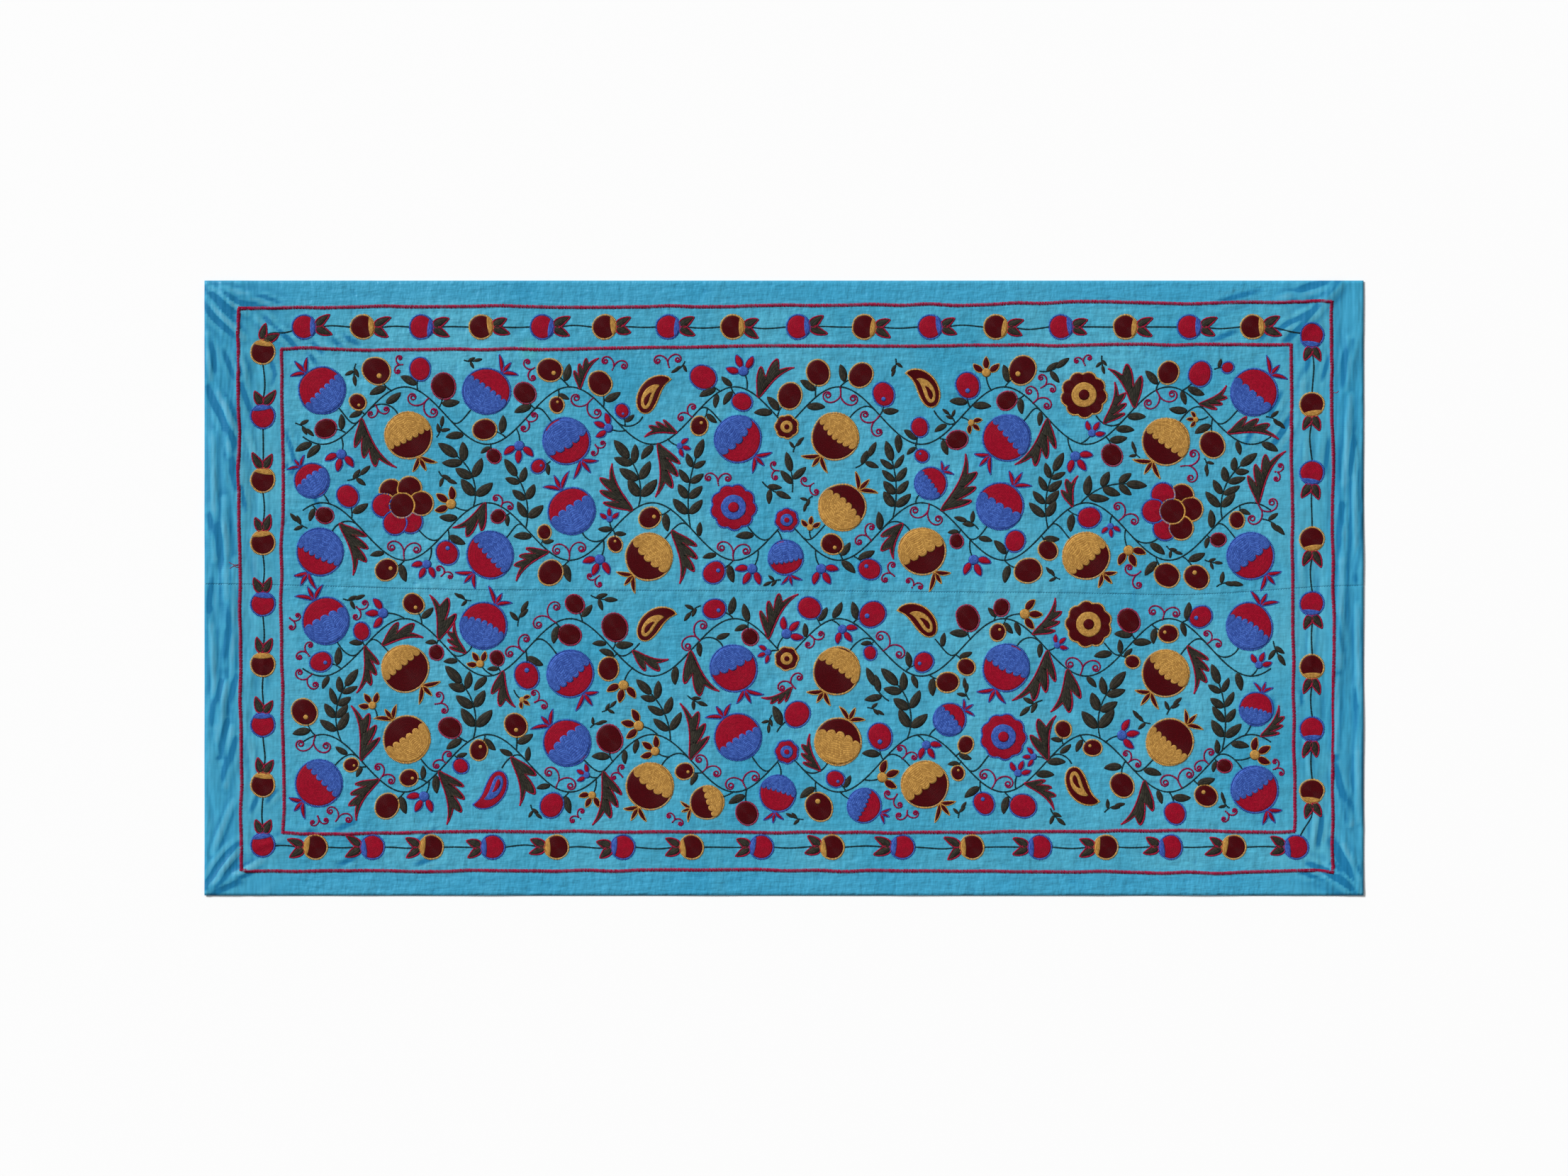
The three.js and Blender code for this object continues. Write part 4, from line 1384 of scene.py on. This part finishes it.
ROSETTES = {5, 14, 19, 24, 33, 38, 43}
SMALL_ROSETTE = 25.0
for centre, facing, kind, hand in flowers:
    is_crimson = (hand * 5 // 3) % 2 == 0
    if kind == "t" and hand % 4 < 2:
        grapes(centre, facing, hand)
    elif kind == "t":
        almond(centre, facing, is_crimson, 1 if hand % 2 else -1, hand)
    elif hand in ROSETTES:
        rosette(centre, FLOWER_RADIUS - 1, is_crimson, 9, hand)
    else:
        pomegranate(centre, facing, is_crimson, hand, FLOWER_RADIUS - 1.0,
                    fruit_body, fruit_half, flower_teeth, crown_edges)
joins = []
for row, (level, side, bays) in enumerate(VINES):
    place = vine_at(level, side, 1, 0)[0]
    joins.append(place)
    rosette(place, SMALL_ROSETTE, row % 2 == 0, 7, 60 + row)
finish_bodies("flowers", fruit_body)
finish_trims("flower_halves", fruit_half)
trim_rows("flower_teeth", flower_teeth, tooth, TOOTH_PITCH, math.pi / 2, 31)
fine_edge = bead_stitch("fine_edge", 4.6, 2.6, 1.35)
FINE_PITCH = 3.2
trim_rows("crown_edges", crown_edges, fine_edge, FINE_PITCH, 0.3, 33)

# Sprigs of the field: everything else that grows from the vines, which are leafy
# sprays, berries on short stalks, lobed leaves edged with raspberry, small open
# flowers and curling tendrils. Each takes the next free place, so none lies on another.
CELL = 2.0
FIELD_X = 1130.0
FIELD_Y = 560.0
CLEAR = 2.5
TEETH_ROOM = 4
taken = np.zeros((int(2 * FIELD_X / CELL), int(2 * FIELD_Y / CELL)), bool)
grid_x, grid_y = np.meshgrid(np.arange(taken.shape[0]) * CELL - FIELD_X + CELL / 2,
                             np.arange(taken.shape[1]) * CELL - FIELD_Y + CELL / 2, indexing="ij")
taken |= (grid_x < -1071) | (grid_x > 1084) | (grid_y < -514) | (grid_y > 504)
taken |= np.abs(grid_y - seam_at(grid_x)) < 6


def cells(points):
    points = np.asarray(points, float)
    i = np.clip(((points[..., 0] + FIELD_X) / CELL).astype(int), 0, taken.shape[0] - 1)
    j = np.clip(((points[..., 1] + FIELD_Y) / CELL).astype(int), 0, taken.shape[1] - 1)
    return i, j


def mark(points, radius):
    """Keep every cell within radius of the points."""
    reach = np.arange(-radius, radius + CELL, CELL)
    step_x, step_y = np.meshgrid(reach, reach)
    near = step_x ** 2 + step_y ** 2 <= radius ** 2
    round_about = np.stack([step_x[near], step_y[near]], -1)
    taken[cells(np.asarray(points, float)[:, None] + round_about)] = True


def is_free(points):
    return not taken[cells(points)].any()


def dense(path, step=3.0):
    """The points of a path at even steps."""
    path = np.asarray(path, float)
    far = np.concatenate([[0], np.cumsum(np.hypot(*np.diff(path, axis=0).T))])
    at = np.linspace(0, far[-1], max(2, int(far[-1] / step) + 2))
    return np.stack([np.interp(at, far, path[:, 0]), np.interp(at, far, path[:, 1])], -1)


def inside(edges):
    """Points spread over a shape given by its two edges."""
    a, b = edges
    part = np.linspace(0, 1, 11)[:, None, None]
    return (a + (b - a) * part).reshape(-1, 2)


def disc_points(centre, radius):
    """Points spread over a disc, none far enough apart for another piece to slip between."""
    rings = math.ceil(radius / 3.5)
    reaches = radius * np.arange(1, rings + 1) / rings
    circles = [ring_path(centre, np.full(math.ceil(1.8 * r) + 3, r)) for r in reaches]
    return np.concatenate([[centre]] + circles)


for line in vine_paths + branches:
    mark(dense(line), CLEAR)
for centre, facing, kind, hand in flowers:
    reach = FLOWER_RADIUS if kind == "O" else (52.0 if hand % 4 > 1 else 66.0)
    mark([centre], reach + 5)
    if kind == "O" and hand not in ROSETTES:
        crown = np.asarray(centre) + unit(facing) * (FLOWER_RADIUS + 2)
        for hand_side in (-1, 0, 1):
            tip = crown + unit(facing + hand_side * CROWN_SPREAD) * 40
            mark(dense([crown, tip]), 7)
for place in joins:
    mark([place], SMALL_ROSETTE + 6)

leaves = Fill()
lobes = Fill()
berries = {True: Fill(), False: Fill()}
eyes = {True: Fill(), False: Fill()}
small_body = {True: Fill(), False: Fill()}
small_half = {True: Fill(), False: Fill()}
small_teeth = {True: [], False: []}
small_crowns = {True: [], False: []}
berry_rims = []
sprig_stems = []
tendrils = []
lobe_edges = []


def lobed_edges(base, heading, long, wide, hand, count, stations=55):
    """A leaf with one smooth edge and one cut into lobes that point to its long tip."""
    t = np.linspace(0, 1, stations)
    angle = heading - hand * 0.35 + hand * 0.9 * t ** 1.4
    step = np.stack([np.cos(angle), np.sin(angle)], -1) * long / (stations - 1)
    spine = np.asarray(base) + np.concatenate([[[0, 0]], np.cumsum((step[1:] + step[:-1]) / 2, axis=0)])
    normal = np.stack([-np.sin(angle), np.cos(angle)], -1)
    tangent = np.stack([np.cos(angle), np.sin(angle)], -1)
    swell = np.clip(np.sin(np.pi * np.clip(t / 0.98, 0, 1) ** 0.62), 0, 1) ** 0.8
    place = np.clip((t - 0.07) / 0.62, 0, 0.9999) * count
    in_lobe = place % 1
    point = np.where(in_lobe < 0.74, in_lobe / 0.74, (1 - in_lobe) / 0.26)
    point = np.sin(np.pi / 2 * np.clip(point, 0, 1)) * ((t > 0.07) & (t < 0.69))
    stout = 1.0 - 0.16 * np.floor(place)
    back = 0.16 * wide * swell
    reach = wide * (0.24 * swell + 0.62 * stout * point)
    smooth = spine + hand * normal * back[:, None]
    cut = spine - hand * normal * reach[:, None] + tangent * (0.62 * wide * stout * point)[:, None]
    return smooth, cut


def curl(start, heading, hand, size, count=44):
    """A tendril that winds in on itself."""
    s = np.linspace(0, 1, count)
    length = 6.6 * size
    bend = hand * (0.50 + 3.5 * s ** 1.9) / size
    angle = heading + np.concatenate([[0], np.cumsum((bend[1:] + bend[:-1]) / 2 * length / (count - 1))])
    step = np.stack([np.cos(angle), np.sin(angle)], -1) * length / (count - 1)
    return np.asarray(start) + np.concatenate([[[0, 0]], np.cumsum((step[1:] + step[:-1]) / 2, axis=0)])


def stalk(base, heading, long, bend):
    t = np.linspace(0, 1, 9)
    angle = heading + bend * t
    step = np.stack([np.cos(angle), np.sin(angle)], -1) * long / 8
    return np.asarray(base) + np.concatenate([[[0, 0]], np.cumsum(step[:-1], axis=0)]), heading + bend


def make_berry(base, heading, size, hand, rng):
    path, end = stalk(base, heading, rng.uniform(16, 30) * size, hand * rng.uniform(0.2, 0.7))
    radius = rng.uniform(22, 30) * size
    centre = path[-1] + unit(end) * (radius + 1)
    side_leaf = pointed_leaf(path[4], heading - hand * 0.9, 42 * size, 20 * size, 0.3)
    return {"stems": [path], "berries": [(centre, radius, end)], "leaves": [side_leaf]}


def make_fruit(base, heading, size, hand, rng):
    path, end = stalk(base, heading, rng.uniform(18, 30) * size, hand * rng.uniform(0.2, 0.8))
    radius = rng.uniform(34, 40) * size
    centre = path[-1] + unit(end) * (radius + 3)
    return {"stems": [path], "fruit": [(centre, radius, end)]}


def make_cluster(base, heading, size, hand, rng):
    path, end = stalk(base, heading, 46 * size, hand * 0.4)
    side_leaf = pointed_leaf(path[3], heading + hand, 30 * size, 12.5 * size)
    out = {"stems": [path], "berries": [], "leaves": [side_leaf]}
    for turn, at, reach in ((0.0, -1, 0.0), (0.95, 5, 28.0), (-0.95, 4, 26.0)):
        radius = rng.uniform(15, 20) * size
        if reach:
            twig = bezier(path[at], path[at] + unit(end) * 8, path[at] + unit(end + turn) * 14 * size,
                          path[at] + unit(end + turn) * reach * size, 8)
            out["stems"].append(twig)
        else:
            twig = path
        way = twig[-1] - twig[-2]
        centre = twig[-1] + way / np.linalg.norm(way) * (radius + 1)
        out["berries"].append((centre, radius, math.atan2(way[1], way[0])))
    return out


def make_spray(base, heading, size, hand, rng):
    long = rng.uniform(96, 150) * size
    path, end = stalk(base, heading, long, hand * rng.uniform(0.5, 1.2))
    out = {"stems": [path], "leaves": []}
    pairs = 3 if long < 118 * size else 4
    for k in range(pairs):
        at = 1.6 + k * 5.4 / (pairs - 1)
        foot = path[int(at)] + (at - int(at)) * (path[int(at) + 1] - path[int(at)])
        way = path[int(at) + 1] - path[int(at)]
        along = math.atan2(way[1], way[0])
        small = 1 - 0.07 * k
        for side_turn in (-1, 1):
            out["leaves"].append(pointed_leaf(foot, along + side_turn * rng.uniform(0.62, 0.85),
                                              rng.uniform(41, 50) * size * small,
                                              rng.uniform(20, 24) * size * small, -0.3 * side_turn))
    out["leaves"].append(pointed_leaf(path[-1], end, 49 * size, 22 * size))
    return out


def make_lobed(base, heading, size, hand, rng):
    long = rng.uniform(100, 140) * size
    wide = rng.uniform(37, 44) * size
    return {"lobed": [lobed_edges(base, heading, long, wide, hand, 3 if long > 112 * size else 2)]}


def make_tendril(base, heading, size, hand, rng):
    path, end = stalk(base, heading, rng.uniform(10, 20) * size, 0.3 * hand)
    tip = path[-1]
    spread = rng.uniform(0.15, 0.5)
    reach = 15.5 * size
    return {"tendrils": [path, curl(tip, end + spread, 1, reach), curl(tip, end - spread, -1, reach)]}


def make_floweret(base, heading, size, hand, rng):
    path, end = stalk(base, heading, rng.uniform(24, 40) * size, hand * 0.6)
    centre = path[-1] + unit(end) * 11 * size
    petals = [pointed_leaf(centre + unit(end + turn) * 8 * size, end + turn * 0.8, 31 * size, 16 * size,
                           -0.5 * turn) for turn in (-1.15, 0.0, 1.15)]
    return {"stems": [path], "petals": petals, "eyes": [(centre, 11.5 * size, end)]}


def make_leaf(base, heading, size, hand, rng):
    return {"leaves": [pointed_leaf(base, heading, 50 * size, 23 * size, 0.35 * hand)]}


def make_twig(base, heading, size, hand, rng):
    path, end = stalk(base, heading, 36 * size, hand * rng.uniform(0.3, 0.8))
    sides = [pointed_leaf(path[at], heading + turn, 36 * size, 16 * size)
             for at, turn in ((3, 0.8), (5, -0.75))]
    return {"stems": [path], "leaves": sides + [pointed_leaf(path[-1], end, 41 * size, 17 * size)]}


def footprint(sprig):
    """Points all over the place a sprig would take."""
    parts = [inside(edges) for key in ("leaves", "lobed", "petals") for edges in sprig.get(key, ())]
    parts += [dense(path) for key in ("stems", "tendrils") for path in sprig.get(key, ())]
    parts += [disc_points(centre, radius + TEETH_ROOM)
              for key in ("berries", "eyes") for centre, radius, end in sprig.get(key, ())]
    for centre, radius, facing in sprig.get("fruit", ()):
        parts.append(disc_points(centre, radius + TEETH_ROOM))
        parts.append(centre + np.outer(np.linspace(radius, radius * 1.75, 7), unit(facing)))
        for turn in (-CROWN_SPREAD, CROWN_SPREAD):
            petal = np.outer(np.linspace(3, radius * 0.8, 6), unit(facing + turn))
            parts.append(centre + unit(facing) * radius + petal)
    return np.concatenate(parts)


def place_sprig(sprig, base, colour, seed, near=9.0):
    """Work a sprig into the cloth if its whole place is free."""
    points = footprint(sprig)
    away = np.linalg.norm(points - base, axis=1)
    if not is_free(points[away > near]):
        return False
    mark(points, CLEAR)
    for edges in sprig.get("leaves", ()):
        widest = np.linalg.norm(edges[0] - edges[1], axis=1).max()
        leaves.between(*edges, 2 if widest > 6.5 else 1, start=seed)
    for edges in sprig.get("lobed", ()):
        lobes.between(*edges, 3, start=seed)
        lobe_edges.append(shape_ring(edges))
    for edges in sprig.get("petals", ()):
        berries[colour].between(*edges, 2, start=seed)
        small_crowns[colour].append(shape_ring(edges))
    for centre, radius, facing in sprig.get("fruit", ()):
        pomegranate(centre, facing, colour, seed, radius, small_body, small_half, small_teeth, small_crowns)
    for centre, radius, end in sprig.get("eyes", ()):
        eyes[colour].round(centre, disc(radius, 16, seed), 2, YARN_HIGH + OVER, 0.4)
    for centre, radius, end in sprig.get("berries", ()):
        turn = np.linspace(0, 2 * np.pi, 28, endpoint=False)
        outline = disc(radius, 28, seed + 7, 0.03) * (1 + 0.07 * np.cos(2 * (turn - end - 0.4)))
        berries[colour].round(centre, outline, max(3, round(radius / 5)))
        rim = (ring_path(centre, outline, 1.0), True)
        if seed % 5 < 2 and not colour:
            berry_rims.append(rim)
        else:
            small_teeth[colour].append(rim)
            if radius > 14 and seed % 2:
                eye = disc(0.22 * radius, 12, seed)
                eyes[colour].round(centre - unit(end) * 0.42 * radius, eye, 1, YARN_HIGH + OVER, OVER_BASE)
    sprig_stems.extend((path, False) for path in sprig.get("stems", ()))
    tendrils.extend((path, False) for path in sprig.get("tendrils", ()))
    return True


rng = np.random.default_rng(41)
SPRIGS = [make_fruit, make_spray, make_lobed, make_berry, make_spray, make_fruit, make_cluster,
          make_lobed, make_tendril, make_berry, make_spray, make_berry, make_fruit, make_lobed,
          make_spray, make_floweret, make_berry]
tried = 0
next_kind = 0
for row, (level, side, bays) in enumerate(VINES):
    for half in (-1, 1):
        for bay in range(1, len(bays), 2):
            crest = FIRST_BAY + BAY_PITCH * bay
            for off, turn in ((-30, 0.75), (30, 2.3), (-10, 1.1), (10, 1.9)):
                base, along = vine_at(level, side, half, crest + off)
                hand = side * half
                tried += 1
                angle = along + hand * turn
                sprig = make_spray(base, angle, 1.12, hand if turn < 1.57 else -hand, rng)
                if place_sprig(sprig, base, True, tried):
                    break
for size, spacing in ((1.0, 30.0), (0.88, 26.0), (0.76, 23.0), (0.64, 24.0)):
    for path in vine_paths + branches:
        fine = dense(path, spacing)
        for k in range(1, len(fine) - 1):
            way = fine[k + 1] - fine[k - 1]
            along = math.atan2(way[1], way[0])
            base = fine[k]
            for hand in (1, -1):
                choices = [(kind, turn, curve) for kind in range(5) for turn in (0.95, 1.35, 0.6, 1.75)
                           for curve in (hand, -hand)]
                for kind, turn, curve in choices:
                    angle = along + hand * turn
                    if not is_free(base + np.outer((13, 24, 40 * size), unit(angle))):
                        continue
                    tried += 1
                    pick = (next_kind + kind) % len(SPRIGS)
                    maker = SPRIGS[pick]
                    sprig = maker(base, angle, size, curve, rng)
                    crimson_share = 0.72 if maker in (make_fruit, make_floweret) else 0.27
                    if place_sprig(sprig, base, bool(rng.random() < crimson_share), tried):
                        next_kind = pick + 1
                        break

# single leaves along what is left of the vines and branches
for path in vine_paths + branches:
    fine = dense(path, 6.0)
    for k in range(4, len(fine) - 4, 3):
        way = fine[k + 1] - fine[k - 1]
        along = math.atan2(way[1], way[0])
        for hand in (1, -1):
            foot = fine[k] + unit(along + hand * 1.57) * 2
            for size in (1.05, 0.85, 0.66):
                if is_free([foot + unit(along + hand * 0.8) * 18 * size]):
                    tried += 1
                    sprig = make_leaf(foot, along + hand * 0.8, size, hand, rng)
                    if place_sprig(sprig, fine[k], True, tried):
                        break

# loose berries, twigs, lobed leaves and curls in the places no vine reaches
LOOSE_SPRIGS = [make_berry, make_twig, make_lobed, make_berry, make_twig, make_floweret, make_tendril]
for size, count in ((1.15, 4000), (0.95, 5000), (0.78, 6000), (0.64, 8000), (0.52, 8000)):
    for n in range(count):
        spot = np.array([rng.uniform(-1070, 1080), rng.uniform(-512, 502)])
        angle = rng.uniform(0, 2 * math.pi)
        if not is_free(spot + np.outer((0, 12 * size, 24 * size), unit(angle))):
            continue
        tried += 1
        maker = LOOSE_SPRIGS[n % len(LOOSE_SPRIGS)]
        place_sprig(maker(spot, angle, size, 1 if n % 2 else -1, rng), spot, n % 4 == 0, tried, near=-1.0)

small_tooth = bead_stitch("small_tooth", 5.6, 3.6, 1.25)
tendril_stitch = bead_stitch("tendril_stitch", 5.2, 5.0, 1.4)
tendril_thread = thread("tendril_thread", (0.340, 0.006, 0.070), (0.150, 0.003, 0.032))
SMALL_PITCH = 3.1
leaves.finish("field_leaves", leaf, "leaf_yarn")
lobes.finish("lobed_leaves", leaf, "leaf_yarn")
finish_bodies("berries", berries)
finish_bodies("small_fruit", small_body)
finish_trims("small_halves", small_half)
finish_trims("eyes", eyes)
trim_rows("berry_teeth", small_teeth, small_tooth, SMALL_PITCH, math.pi / 2, 41)
stitch_rows("berry_rims", berry_rims, small_tooth, SMALL_PITCH, raspberry_thread,
            turn=math.pi / 2, seed=46)
trim_rows("small_crown_edges", small_crowns, fine_edge, FINE_PITCH, 0.3, 47)
edge_rows("lobed_leaf_edges", lobe_edges, 43)
stem_rows("sprig_stems", sprig_stems, 44)
stitch_rows("tendrils", tendrils, tendril_stitch, SMALL_PITCH, tendril_thread,
            turn=0.3, seed=45)
